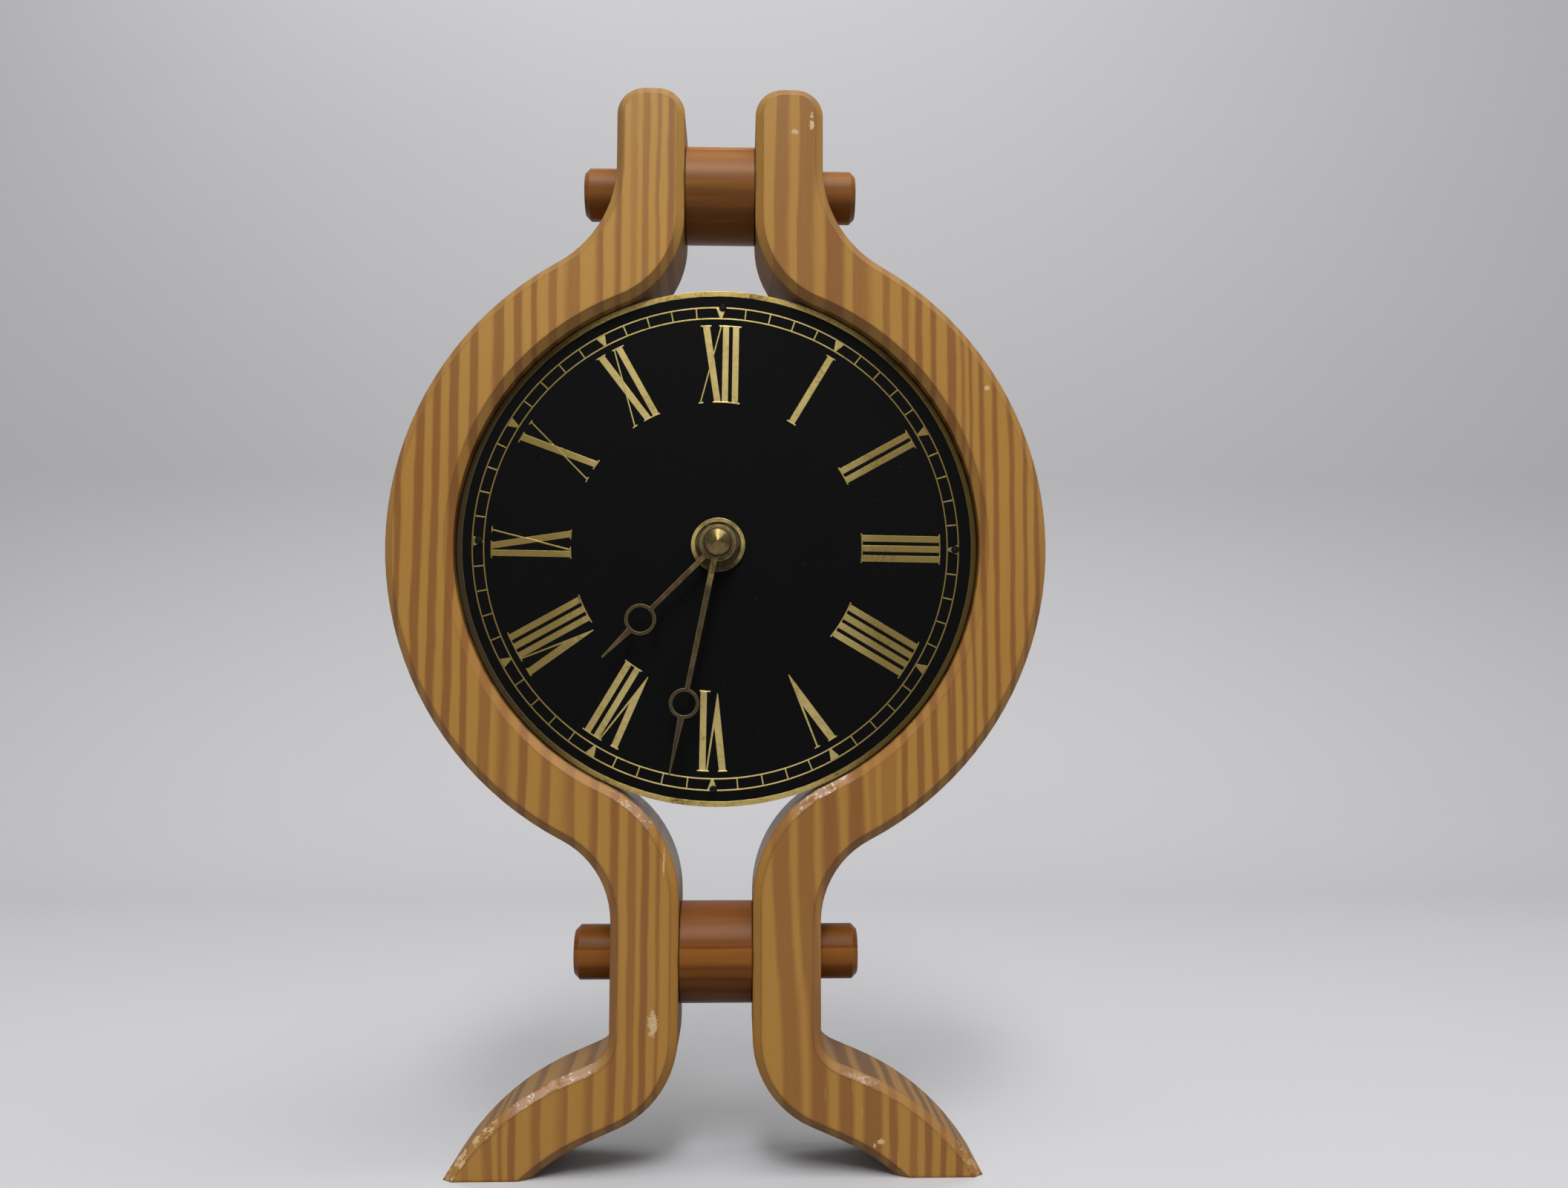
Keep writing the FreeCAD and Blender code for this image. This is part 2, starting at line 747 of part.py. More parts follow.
def make_case():
    """The front case: a tray for the wheels, an open bay for the cell, bush and posts."""
    tray = plate(case_outline(), case_front, case_back)
    room = block(dial_centre + at(-room_half, room_low), dial_centre + at(room_half, room_high),
                 inside_front, case_back + 1)
    bay = block(dial_centre + at(-room_half, bay_low), dial_centre + at(room_half, bay_high),
                inside_front, case_back + 1)
    notch_low = dial_centre + at(-finger_notch / 2, case_low - 1)
    notch_high = dial_centre + at(finger_notch / 2, bay_low)
    notch = block(notch_low, notch_high, inside_front + cell_radius, case_back + 1)
    tray = tray.cut([room, bay, notch, plate(cover_outline(), inside_back, case_back + 1)])
    bush = bar(bush_radius, dial_front - bush_height, inside_front, dial_centre)
    post = bar(arbor_radius, case_front, layer(2)[1] + end_shake, minute_place)
    rests = [bar(stator_post_radius, case_front, stator_depth()[0], place) for place in stator_posts()]
    tray = joined(tray, bush, post, *rests)
    bore = bar(hour_pipe_radius + running_play, dial_front - bush_height - 1, inside_front + 1, dial_centre)
    holes = [bar(pivot_radius + running_play, inside_front - pivot_depth - end_shake, inside_front + 1, place)
             for place in pivot_places()]
    return tray.cut([bore] + holes)


def make_cover():
    """The rear cover, with blind pivot holes and a hole for the setting shaft."""
    cover = plate(cover_outline(), inside_back, case_back)
    rim = [edge for edge in cover.Edges if edge.BoundBox.YMin > case_back - 1e-6]
    cover = cover.makeChamfer(cover_edge, rim)
    boss = bar(knob_boss_radius, case_back, case_back + knob_boss_height, setting_place)
    holes = [bar(pivot_radius + running_play, inside_back - 1, inside_back + pivot_depth + end_shake, place)
             for place in pivot_places() + [dial_centre]]
    passage_back = case_back + knob_boss_height + 1
    passage = bar(knob_shaft_radius + running_play, inside_back - 1, passage_back, setting_place)
    return joined(cover, boss).cut(holes + [passage])


# Battery and contacts

cell_middle = inside_front + cell_lift + cell_radius
cell_axis_height = dial_height + (bay_low + bay_high) / 2
cell_left = -room_half + contact_thickness + contact_gap


def make_cell():
    """The cell, its raised end to the left."""
    can_left = cell_left + cell_cap_length
    start = FreeCAD.Vector(can_left, cell_middle, cell_axis_height)
    can = Part.makeCylinder(cell_radius, cell_length - cell_cap_length, start, along_x)
    rims = [edge for edge in can.Edges if isinstance(edge.Curve, Part.Circle)]
    can = can.makeFillet(cell_cap_length / 2, rims)
    tip_start = FreeCAD.Vector(cell_left, cell_middle, cell_axis_height)
    tip = Part.makeCylinder(cell_cap_radius, cell_cap_length, tip_start, along_x)
    return joined(can, tip)


def make_positive_contact():
    """A flat strip on the bay's left wall."""
    low = at(-room_half, cell_axis_height - contact_width / 2)
    high = at(-room_half + contact_thickness, cell_axis_height + contact_width / 2)
    return block(low, high, inside_front, inside_front + cell_lift + cell_radius + contact_height / 2)


def make_negative_contact():
    """A bowed leaf spring between the bay's right wall and the cell's flat end."""
    reach = spring_reach
    span = contact_height
    outer = (span ** 2 / 4 + reach ** 2) / (2 * reach)
    middle = cell_middle
    wall_x = room_half
    bow = [
        FreeCAD.Vector(wall_x, middle - span / 2, 0),
        FreeCAD.Vector(wall_x - reach, middle, 0),
        FreeCAD.Vector(wall_x, middle + span / 2, 0),
    ]
    inner_half = math.sqrt((outer - contact_thickness) ** 2 - (outer - reach) ** 2)
    under = [
        FreeCAD.Vector(wall_x, middle + inner_half, 0),
        FreeCAD.Vector(wall_x - reach + contact_thickness, middle, 0),
        FreeCAD.Vector(wall_x, middle - inner_half, 0),
    ]
    outline = [
        Part.Arc(*bow).toShape(),
        Part.makeLine(bow[2], under[0]),
        Part.Arc(*under).toShape(),
        Part.makeLine(under[2], bow[0]),
    ]
    leaf = Part.Face(Part.Wire(outline)).extrude(FreeCAD.Vector(0, 0, contact_width))
    leaf.translate(at(0, cell_axis_height - contact_width / 2))
    return leaf


# Motor and electronics

def stator_depth():
    """Front and back depth of the stator plate."""
    middle = (layer(3)[0] + layer(3)[1]) / 2
    return middle - stator_thickness / 2, middle + stator_thickness / 2


def strip(start, end, width):
    """A straight strip from one point to another."""
    way = (end - start).normalize()
    side = FreeCAD.Vector(-way.z, 0, way.x) * (width / 2)
    corners = [start + side, end + side, end - side, start - side]
    return Part.Face(Part.makePolygon(corners + corners[:1]))


def make_stator():
    """One plate: a ring round the rotor, two bent arms and the core that carries the coil."""
    front, back = stator_depth()
    hole = rotor_magnet_radius + stator_hole_play
    low = dial_centre + at(coil_x, coil_low - core_overhang)
    high = dial_centre + at(coil_x, coil_high + core_overhang)
    pieces = [
        bar(hole + stator_ring_width, front, back, rotor_place),
        plate(strip(low, high, core_width), front, back),
    ]
    for joint in stator_posts():
        knee = at(stator_knee_x, joint.z)
        pieces.append(plate(strip(rotor_place, knee, stator_arm_width), front, back))
        pieces.append(bar(stator_arm_width / 2, front, back, knee))
        pieces.append(plate(strip(knee, joint, stator_arm_width), front, back))
    return joined(*pieces).cut(bar(hole, front - 1, back + 1, rotor_place))


def coil_bar(radius, low, high):
    """A round bar along the coil's axis between two heights above the dial's centre."""
    depth = sum(stator_depth()) / 2
    start = FreeCAD.Vector(coil_x, depth, dial_height + low)
    return Part.makeCylinder(radius, high - low, start, FreeCAD.Vector(0, 0, 1))


def make_coil():
    """The bobbin on the stator's core, and the winding on the bobbin."""
    front, back = stator_depth()
    tube_radius = math.hypot(core_width / 2, stator_thickness / 2) + running_play + bobbin_wall
    core = block(dial_centre + at(coil_x - core_width / 2 - running_play, coil_low - 1),
                 dial_centre + at(coil_x + core_width / 2 + running_play, coil_high + 1),
                 front - running_play, back + running_play)
    low_flange = coil_low + coil_flange_thickness
    high_flange = coil_high - coil_flange_thickness
    bobbin = joined(
        coil_bar(tube_radius, coil_low, coil_high),
        coil_bar(coil_flange_radius, coil_low, low_flange),
        coil_bar(coil_flange_radius, high_flange, coil_high),
    ).cut(core)
    winding = coil_bar(coil_radius, low_flange, high_flange)
    tube = coil_bar(tube_radius, coil_low, coil_high)
    return bobbin, winding.cut(tube)


board_left = -room_half + board_margin
board_back = inside_front + board_thickness


def make_board():
    """The circuit board on the case's front wall, left of the wheels."""
    low = dial_centre + at(board_left, room_low + board_margin)
    high = dial_centre + at(board_left + board_width, room_high - board_margin)
    return block(low, high, inside_front, board_back)


def make_chip():
    """The round potted chip on the board."""
    place = dial_centre + at(board_left + board_width / 2, 0)
    return turned([
        (0, board_back),
        (chip_radius, board_back),
        (chip_shoulder_radius, board_back + chip_shoulder_height),
        (0, board_back + chip_height),
    ], place)


def make_crystal():
    """The crystal's can, lying on the board."""
    start = dial_centre + at(board_left + board_width / 2, room_high / 2)
    start += along_y * (board_back + crystal_radius)
    can = Part.makeCylinder(crystal_radius, crystal_length, start, FreeCAD.Vector(0, 0, 1))
    rims = [edge for edge in can.Edges if isinstance(edge.Curve, Part.Circle)]
    return can.makeChamfer(crystal_edge, rims)


def make_all():
    """Every piece by its node name."""
    left_upright, right_upright = make_uprights()
    rotor_pinion, rotor_magnet = make_rotor()
    bobbin, winding = make_coil()
    return {
        "left_upright": left_upright,
        "right_upright": right_upright,
        "upper_dowel": make_dowel(upper_bar_height),
        "lower_dowel": make_dowel(lower_bar_height),
        "upper_spacer": make_spacer(upper_bar_height),
        "lower_spacer": make_spacer(lower_bar_height),
        "backing_disc": make_backing(),
        "dial_plate": make_dial(),
        "dial_pins": make_dial_pins(),
        "bush_washer": make_washer(),
        "bush_nut": make_nut(),
        "rubber_gasket": flat_ring(gasket_radius, bush_radius + bush_hole_play, dial_back, case_front),
        "hour_hand": make_hand(
            hour_hand_length, hour_ring_centre, hour_ring_outer, hour_ring_inner, hour_hub_radius,
            hour_pipe_radius + glue_gap, hour_hand_height, hour_hand_angle),
        "minute_hand": make_hand(
            minute_hand_length, minute_ring_centre, minute_ring_outer, minute_ring_inner, minute_hub_radius,
            minute_thread_radius + glue_gap, minute_hand_height, minute_hand_angle),
        "cap_nut": make_cap_nut(),
        "minute_arbor": make_minute_arbor(),
        "hour_wheel": make_hour_wheel(),
        "minute_wheel": make_minute_wheel(),
        "centre_wheel": make_centre_wheel(),
        "third_wheel": make_third_wheel(),
        "seconds_wheel": make_seconds_wheel(),
        "intermediate_wheel": make_intermediate_wheel(),
        "rotor_pinion": rotor_pinion,
        "rotor_magnet": rotor_magnet,
        "setting_knob": make_setting_knob(),
        "movement_case": make_case(),
        "movement_cover": make_cover(),
        "battery_cell": make_cell(),
        "positive_contact": make_positive_contact(),
        "negative_contact": make_negative_contact(),
        "stator_plate": make_stator(),
        "coil_bobbin": bobbin,
        "coil_winding": winding,
        "circuit_board": make_board(),
        "control_chip": make_chip(),
        "crystal_can": make_crystal(),
    }


os.makedirs("parts", exist_ok=True)
for node, shape in make_all().items():
    shape.exportStep("parts/" + node + ".step")
    print(node, len(shape.Solids), shape.isValid(), round(shape.Volume, 2))
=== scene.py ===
import bmesh
import bpy
import math
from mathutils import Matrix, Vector
from mathutils.geometry import tessellate_polygon


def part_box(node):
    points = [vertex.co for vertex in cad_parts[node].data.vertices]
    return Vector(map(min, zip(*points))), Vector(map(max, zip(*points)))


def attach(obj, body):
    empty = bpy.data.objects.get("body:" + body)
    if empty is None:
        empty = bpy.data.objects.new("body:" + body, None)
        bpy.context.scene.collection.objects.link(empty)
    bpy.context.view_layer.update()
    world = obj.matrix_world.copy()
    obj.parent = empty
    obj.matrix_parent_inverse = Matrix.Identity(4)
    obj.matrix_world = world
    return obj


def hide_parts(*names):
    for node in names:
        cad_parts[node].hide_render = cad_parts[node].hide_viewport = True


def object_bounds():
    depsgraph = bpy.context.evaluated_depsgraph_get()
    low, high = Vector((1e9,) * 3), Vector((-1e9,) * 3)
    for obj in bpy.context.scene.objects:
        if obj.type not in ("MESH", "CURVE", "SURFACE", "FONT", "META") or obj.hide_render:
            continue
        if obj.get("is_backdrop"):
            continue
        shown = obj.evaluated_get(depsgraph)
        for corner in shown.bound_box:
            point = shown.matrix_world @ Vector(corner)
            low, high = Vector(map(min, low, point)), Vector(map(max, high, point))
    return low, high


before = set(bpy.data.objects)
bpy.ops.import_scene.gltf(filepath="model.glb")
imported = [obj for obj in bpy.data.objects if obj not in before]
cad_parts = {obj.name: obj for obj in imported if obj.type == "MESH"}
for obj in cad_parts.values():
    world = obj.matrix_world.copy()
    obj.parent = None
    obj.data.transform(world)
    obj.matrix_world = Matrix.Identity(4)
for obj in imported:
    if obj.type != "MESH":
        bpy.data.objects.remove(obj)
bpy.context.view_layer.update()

MM = 0.001
DIAL_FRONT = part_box("dial_plate")[0].y / MM
DIAL_MIDDLE = (-0.4, 175.85)  # middle of the printed circles, x and z in mm
HUB = (0, 176)  # the hands' axis, x and z in mm
UPPER_BAR = 283.5  # z of the upper cross bar's middle, in mm
LOWER_BAR = 58.9  # z of the lower cross bar's middle, in mm
BAR_DEPTH = 2.5  # y of both cross bars' middle, in mm
BOW_INNER = 75.4  # radius of the uprights' hollow beside the dial, in mm


class Graph:
    """Adds the nodes of one material and links them."""

    RAMP_CHANGES = 14  # changes of tone on one colour ramp
    RAMP_MARGIN = 6  # how far a ramp reaches past its first and last change

    def __init__(self, name):
        self.material = bpy.data.materials.new(name)
        self.material.use_nodes = True
        self.tree = self.material.node_tree
        self.tree.nodes.clear()
        # The point on the piece, in mm, in the shared frame at rest
        inputs = {0: self.node("ShaderNodeTexCoord").outputs["Object"], "Scale": 1 / MM}
        self.place = self.node("ShaderNodeVectorMath", inputs, operation="SCALE").outputs["Vector"]

    def feed(self, socket, value):
        if isinstance(value, bpy.types.NodeSocket):
            self.tree.links.new(value, socket)
        else:
            socket.default_value = value

    def node(self, kind, inputs=(), **settings):
        made = self.tree.nodes.new(kind)
        for key, value in settings.items():
            setattr(made, key, value)
        for key, value in dict(inputs).items():
            self.feed(made.inputs[key], value)
        return made

    def math(self, operation, first, second=0, third=0, clamp=False):
        inputs = {0: first, 1: second}
        if operation == "MULTIPLY_ADD":
            inputs[2] = third
        return self.node("ShaderNodeMath", inputs, operation=operation, use_clamp=clamp).outputs[0]

    def add(self, first, second):
        return self.math("ADD", first, second)

    def less(self, first, second):
        return self.math("SUBTRACT", first, second)

    def most(self, first, second):
        return self.math("MAXIMUM", first, second)

    def size(self, value):
        return self.math("ABSOLUTE", value)

    def times(self, first, *others):
        for other in others:
            first = self.math("MULTIPLY", first, other)
        return first

    def scaled(self, value, by, plus):
        return self.math("MULTIPLY_ADD", value, by, plus)

    def clamped(self, value):
        return self.math("MULTIPLY", value, 1, clamp=True)

    def vary(self, value, noise, amount):
        """The value with the noise added to it, about its middle."""
        return self.scaled(self.less(noise, 0.5), amount, value)

    def span(self, value, low, high, to_low=0, to_high=1):
        """Maps low..high to to_low..to_high, smoothly and without going past either end."""
        inputs = {"Value": value, "From Min": low, "From Max": high, "To Min": to_low, "To Max": to_high}
        return self.node("ShaderNodeMapRange", inputs, interpolation_type="SMOOTHSTEP").outputs["Result"]

    def within(self, value, low, high, soft):
        """1 between low and high, 0 outside, over a soft border."""
        rise = self.span(value, low - soft, low + soft)
        fall = self.span(value, high - soft, high + soft, 1, 0)
        return self.times(rise, fall)

    def mix(self, factor, first, second, blend="MIX"):
        """Mixes two colours. The node's sockets go by number, because their names repeat."""
        made = self.node("ShaderNodeMix", data_type="RGBA", blend_type=blend)
        self.feed(made.inputs[0], factor)
        self.feed(made.inputs[6], first)
        self.feed(made.inputs[7], second)
        return made.outputs[2]

    def split(self, vector):
        return self.node("ShaderNodeSeparateXYZ", {0: vector}).outputs[:]

    def facing(self):
        """The surface normal in the piece's own axes."""
        return self.split(self.node("ShaderNodeTexCoord").outputs["Normal"])

    def radius(self, first, second, middle):
        """Distance from an axis through middle."""
        first = self.less(first, middle[0])
        second = self.less(second, middle[1])
        return self.math("SQRT", self.add(self.times(first, first), self.times(second, second)))

    def noise(self, scale, detail=2, rough=0.5, warp=0):
        """Noise of one scale, or of three scales, along x, y and z."""
        place = self.place
        if isinstance(scale, tuple):
            sides = {0: place, 1: scale}
            place = self.node("ShaderNodeVectorMath", sides, operation="MULTIPLY").outputs[0]
            scale = 1
        inputs = {"Vector": place, "Scale": scale, "Detail": detail, "Roughness": rough, "Distortion": warp}
        return self.node("ShaderNodeTexNoise", inputs).outputs["Fac"]

    def ramp(self, value, stops, curve="EASE"):
        """A ramp of grey levels or colours, from a list of (place, level or colour)."""
        made = self.node("ShaderNodeValToRGB", {0: value})
        made.color_ramp.interpolation = curve
        elements = made.color_ramp.elements
        while len(elements) < len(stops):
            elements.new(0.5)
        for element, (where, level) in zip(elements, stops):
            element.position = where
            element.color = level if isinstance(level, tuple) else (level, level, level, 1)
        return made.outputs[0]

    def steps(self, value, first, changes, soft):
        """A tone that changes at listed places: (place, tone from there on, softness if not the usual)."""
        tone = first
        result = None
        border = 0
        for start in range(0, len(changes), self.RAMP_CHANGES):
            part = changes[start:start + self.RAMP_CHANGES]
            low = part[0][0] - self.RAMP_MARGIN
            high = part[-1][0] + self.RAMP_MARGIN
            stops = []
            reached = 0
            for change in part:
                wide = change[2] if len(change) > 2 else soft
                for where, level in ((change[0] - wide / 2, tone), (change[0] + wide / 2, change[1])):
                    reached = max(reached, (where - low) / (high - low))
                    stops.append((reached, level))
                tone = change[1]
            made = self.ramp(self.math("DIVIDE", self.less(value, low), high - low), stops)
            if result is not None:
                border = (border + part[0][0]) / 2
                made = self.mix(self.math("GREATER_THAN", value, border), result, made)
            result = made
            border = part[-1][0]
        return result

    def bump(self, height, distance, normal=None):
        """A bump of that height in mm."""
        inputs = {"Height": height, "Distance": distance * MM}
        if normal is not None:
            inputs["Normal"] = normal
        return self.node("ShaderNodeBump", inputs).outputs[0]

    def soft_edge(self, radius):
        """The normal with its edges rounded by that radius in mm."""
        return self.node("ShaderNodeBevel", {"Radius": radius * MM}, samples=6).outputs[0]

    def edges(self, rounded):
        """1 on sharp edges, 0 away from them, from a soft_edge normal."""
        flat = self.node("ShaderNodeNewGeometry").outputs["Normal"]
        inputs = {0: rounded, 1: flat}
        alike = self.node("ShaderNodeVectorMath", inputs, operation="DOT_PRODUCT").outputs["Value"]
        return self.span(alike, 0.92, 0.998, 1, 0)

    def finish(self, colour, gloss, normal, **others):
        inputs = {"Base Color": colour, "Roughness": gloss, "Normal": normal}
        for key, value in others.items():
            inputs[key.replace("_", " ")] = value
        shader = self.node("ShaderNodeBsdfPrincipled", inputs)
        self.node("ShaderNodeOutputMaterial", {"Surface": shader.outputs[0]})
        return self.material


def rgb(red, green, blue):
    """A colour as it looks on a screen, 0 to 255, as the shader's own numbers."""
    linear = []
    for value in (red / 255, green / 255, blue / 255):
        linear.append(value / 12.92 if value <= 0.04045 else ((value + 0.055) / 1.055) ** 2.4)
    return (*linear, 1)


# Pine: straight-grained board, honey between brown growth rings, under old lacquer.
# A ring is its left and right edge as x in mm, its darkness, and the widths of its edges if they are soft.
# The rings drift sideways with height, by their own amounts over the dial, under it and in the foot.

PALE = 0.5
FAIR = 0.78
DARK = 0.97
BETWEEN = 0.05
CRISP = 0.85
LEFT_BOW = [(-92, -90.25, DARK), (-86.75, -84.25, DARK), (-82, -79.75, DARK)]
LEFT_OVER = LEFT_BOW + [
    (-77.25, -74.5, DARK), (-71.5, -69.25, DARK), (-65.25, -62.25, DARK, 1.5, CRISP), (-59.25, -57, DARK),
    (-54.5, -52.75, DARK), (-49.5, -47, FAIR), (-44.5, -40.5, FAIR, 2.5, CRISP),
    (-35.75, -33.75, DARK, 2.5, CRISP), (-30.5, -28.75, DARK, 1.5, CRISP), (-26.25, -24.25, PALE),
    (-22.75, -20.75, FAIR), (-18.75, -17.5, FAIR), (-15.5, -13.5, DARK),
]
LEFT_UNDER = LEFT_BOW + [
    (-77.5, -75, DARK), (-72.5, -70.5, DARK), (-67.25, -64, FAIR), (-61.5, -58.5, FAIR, 2.5, 2.5),
    (-55.75, -53.5, DARK, 1.5, CRISP), (-49.5, -46.75, FAIR, 2, CRISP), (-42.75, -39.75, FAIR, 5, CRISP),
    (-35.5, -33.25, DARK, 2.5, CRISP), (-29.75, -27.25, DARK, 1.5, CRISP), (-24.75, -22.5, FAIR),
    (-21, -19, DARK), (-17, -15.75, FAIR),
]
LEFT_FOOT = [
    (-69.5, -67.5, PALE), (-63.75, -61.25, FAIR, 2, CRISP), (-59.75, -58.5, FAIR), (-57, -55, DARK),
    (-50.75, -48.25, FAIR, 2, CRISP), (-43.25, -40.75, FAIR, 4.5, CRISP), (-36.25, -33.75, FAIR, 3, CRISP),
    (-30.25, -28, DARK, 2, CRISP), (-25.5, -23.25, FAIR), (-21.75, -19.75, DARK), (-17.5, -16.5, FAIR),
]
RIGHT_BOW = [
    (75, 76.5, DARK), (78.75, 80.25, DARK), (83.25, 84.75, DARK), (87.25, 88.5, DARK), (90.5, 92, DARK),
]
RIGHT_OVER = [
    (15, 19.25, FAIR, CRISP, 2), (22, 27, FAIR, CRISP, 2.5), (30.25, 35.75, DARK, 1.5, 2),
    (38.25, 43.25, FAIR, CRISP, 3.5), (47, 49.25, FAIR), (52.5, 54.5, FAIR), (56.5, 58.75, DARK),
    (61, 62.5, DARK), (65.75, 68.25, DARK), (69.75, 70.75, FAIR), (72, 73, DARK),
] + RIGHT_BOW
RIGHT_UNDER = [
    (14.5, 19.5, FAIR, 1.5, 1.5), (21.75, 26.5, FAIR, 1.5, 1.5), (28.5, 33.5, DARK, 2.5, 2),
    (36.25, 40.75, DARK, 2, 2), (42.5, 44.25, PALE), (45.75, 50, PALE), (51.75, 53.5, DARK), (56, 58, DARK),
    (60.25, 62.25, DARK), (65, 67.25, DARK), (69, 70.5, DARK), (72.25, 73.25, DARK),
] + RIGHT_BOW
RIGHT_FOOT = [
    (18.25, 23.5, FAIR, 1.5, 2), (26, 30.75, DARK, 2.5, 2), (33.75, 38, DARK, 2, 1.5),
    (40.75, 45.75, DARK, 2, 1.5), (47.75, 50.25, DARK, CRISP, 1.5), (53.75, 55.75, FAIR),
    (57.75, 59.75, DARK), (62, 63.75, DARK), (66.5, 68.5, DARK), (70.5, 71.75, FAIR),
]
BOW_REACH = 130  # height over which the bow's rings drift, in mm
FOOT_MIDDLE = 25  # z about which the foot's rings drift, in mm
FOOT_REACH = 30  # height over which they do, in mm

HONEY = rgb(186, 139, 68)
HONEY_DEEP = rgb(178, 129, 59)
# painted light: the paler honey of the top
HONEY_LIT_TOP = rgb(200, 153, 82)
RING = rgb(150, 102, 54)
RING_DEEP = rgb(142, 92, 46)
# painted light: the paler rings of the top
RING_LIT_TOP = rgb(162, 114, 65)
RING_SIDE = rgb(70, 44, 22)
FIBRE = rgb(116, 72, 34)
PALE_STREAK = rgb(216, 176, 112)
BEVEL = rgb(172, 112, 54)
# painted shade for the bevels that face up
BEVEL_UP_SHADE = rgb(146, 106, 62)
BEVEL_TIP = rgb(150, 118, 66)
# painted shade, multiplied into the sides, the inner walls and the tops of the feet
SIDE_SHADE = (0.84, 0.83, 0.83, 1)
RECESS_SHADE = (0.69, 0.69, 0.73, 1)
INNER_SHADE = (0.62, 0.6, 0.58, 1)
DUST = rgb(128, 104, 78)
# grime and painted shade along the edges
GRIME_AND_SHADE = rgb(110, 66, 32)
RUBBED_DARK = rgb(118, 74, 36)
# worn lacquer and a painted highlight at the very edge
RUBBED_PALE_AND_HIGHLIGHT = rgb(206, 168, 110)
# lifted lacquer and a painted highlight on the upper bevels
MILKY_AND_HIGHLIGHT = rgb(192, 164, 142)
CREASE = rgb(240, 228, 212)
BARE_DARK = rgb(196, 150, 96)
BARE_PALE = rgb(232, 208, 168)
HAIR_SCRATCH = rgb(224, 192, 138)


def ring_changes(rings):
    """The places where the tone changes, for Graph.steps."""
    changes = []
    for left, right, tone, *soft in rings:
        soft_left, soft_right = soft or (CRISP, CRISP)
        changes.append((left, tone, soft_left))
        changes.append((right, BETWEEN, soft_right))
    return changes


def pine_rings(g, x, y, z, over, under, foot):
    """How dark the growth rings are at each point, 0 to 1."""
    slow = g.noise((0.012, 0.02, 0.022))
    waver = g.noise((0.16, 0.05, 0.045))
    quick = g.noise((0.9, 0.35, 0.05), 3, 0.6)
    board_x = g.scaled(y, 0.03, x)
    board_x = g.vary(board_x, slow, 0.8)
    board_x = g.vary(board_x, waver, 1.4)
    board_x = g.vary(board_x, quick, 0.4)
    tones = []
    parts = ((over, HUB[1], BOW_REACH), (under, HUB[1], BOW_REACH), (foot, FOOT_MIDDLE, FOOT_REACH))
    for (rings, drift), middle, reach in parts:
        rise = g.scaled(z, 1 / reach, -middle / reach)
        lean = g.scaled(rise, drift[2], drift[1])
        lean = g.scaled(rise, lean, drift[0])
        ring_x = g.less(board_x, g.times(rise, lean))
        tones.append(g.steps(ring_x, BETWEEN, ring_changes(rings), CRISP))
    bow = g.mix(g.span(z, 168, 184), tones[1], tones[0])
    return g.mix(g.span(z, 44, 60), tones[2], bow)


def old_lacquer(g, x, z, colour, zone, lifts, bare_zone, bare):
    """Lacquer that is lifted and milky, partly a painted highlight, or gone near the toe: the new colour,
    and how far it is off.
    """
    cover = 0
    for left, right, low, high, strength in lifts:
        spot = g.times(g.within(x, left, right, 2.5), g.within(z, low, high, 2.5), strength)
        cover = g.most(cover, spot)
    lifted = g.noise((0.12, 0.3, 0.2), 3, 0.6)
    lifted = g.times(zone, cover, g.span(lifted, 0.4, 0.52))
    creases = g.noise((0.5, 0.3, 0.6), 3, 0.6, 1.5)
    creases = g.times(lifted, g.span(creases, 0.54, 0.62))
    # lifted milky lacquer, with a painted highlight laid into it
    colour = g.mix(lifted, colour, MILKY_AND_HIGHLIGHT)
    colour = g.mix(g.times(creases, 1.3), colour, CREASE)
    toe = g.times(zone, g.span(z, 40, 46, 1, 0))
    torn = g.noise((0.28, 0.5, 0.4), 5, 0.7)
    left, right, strength = bare_zone
    lost = g.times(toe, g.within(x, left, right, 2), g.span(torn, 0.5, 0.56))
    colour = g.mix(g.times(lost, strength), colour, bare)
    return colour, g.times(g.most(lost, creases), 0.6)


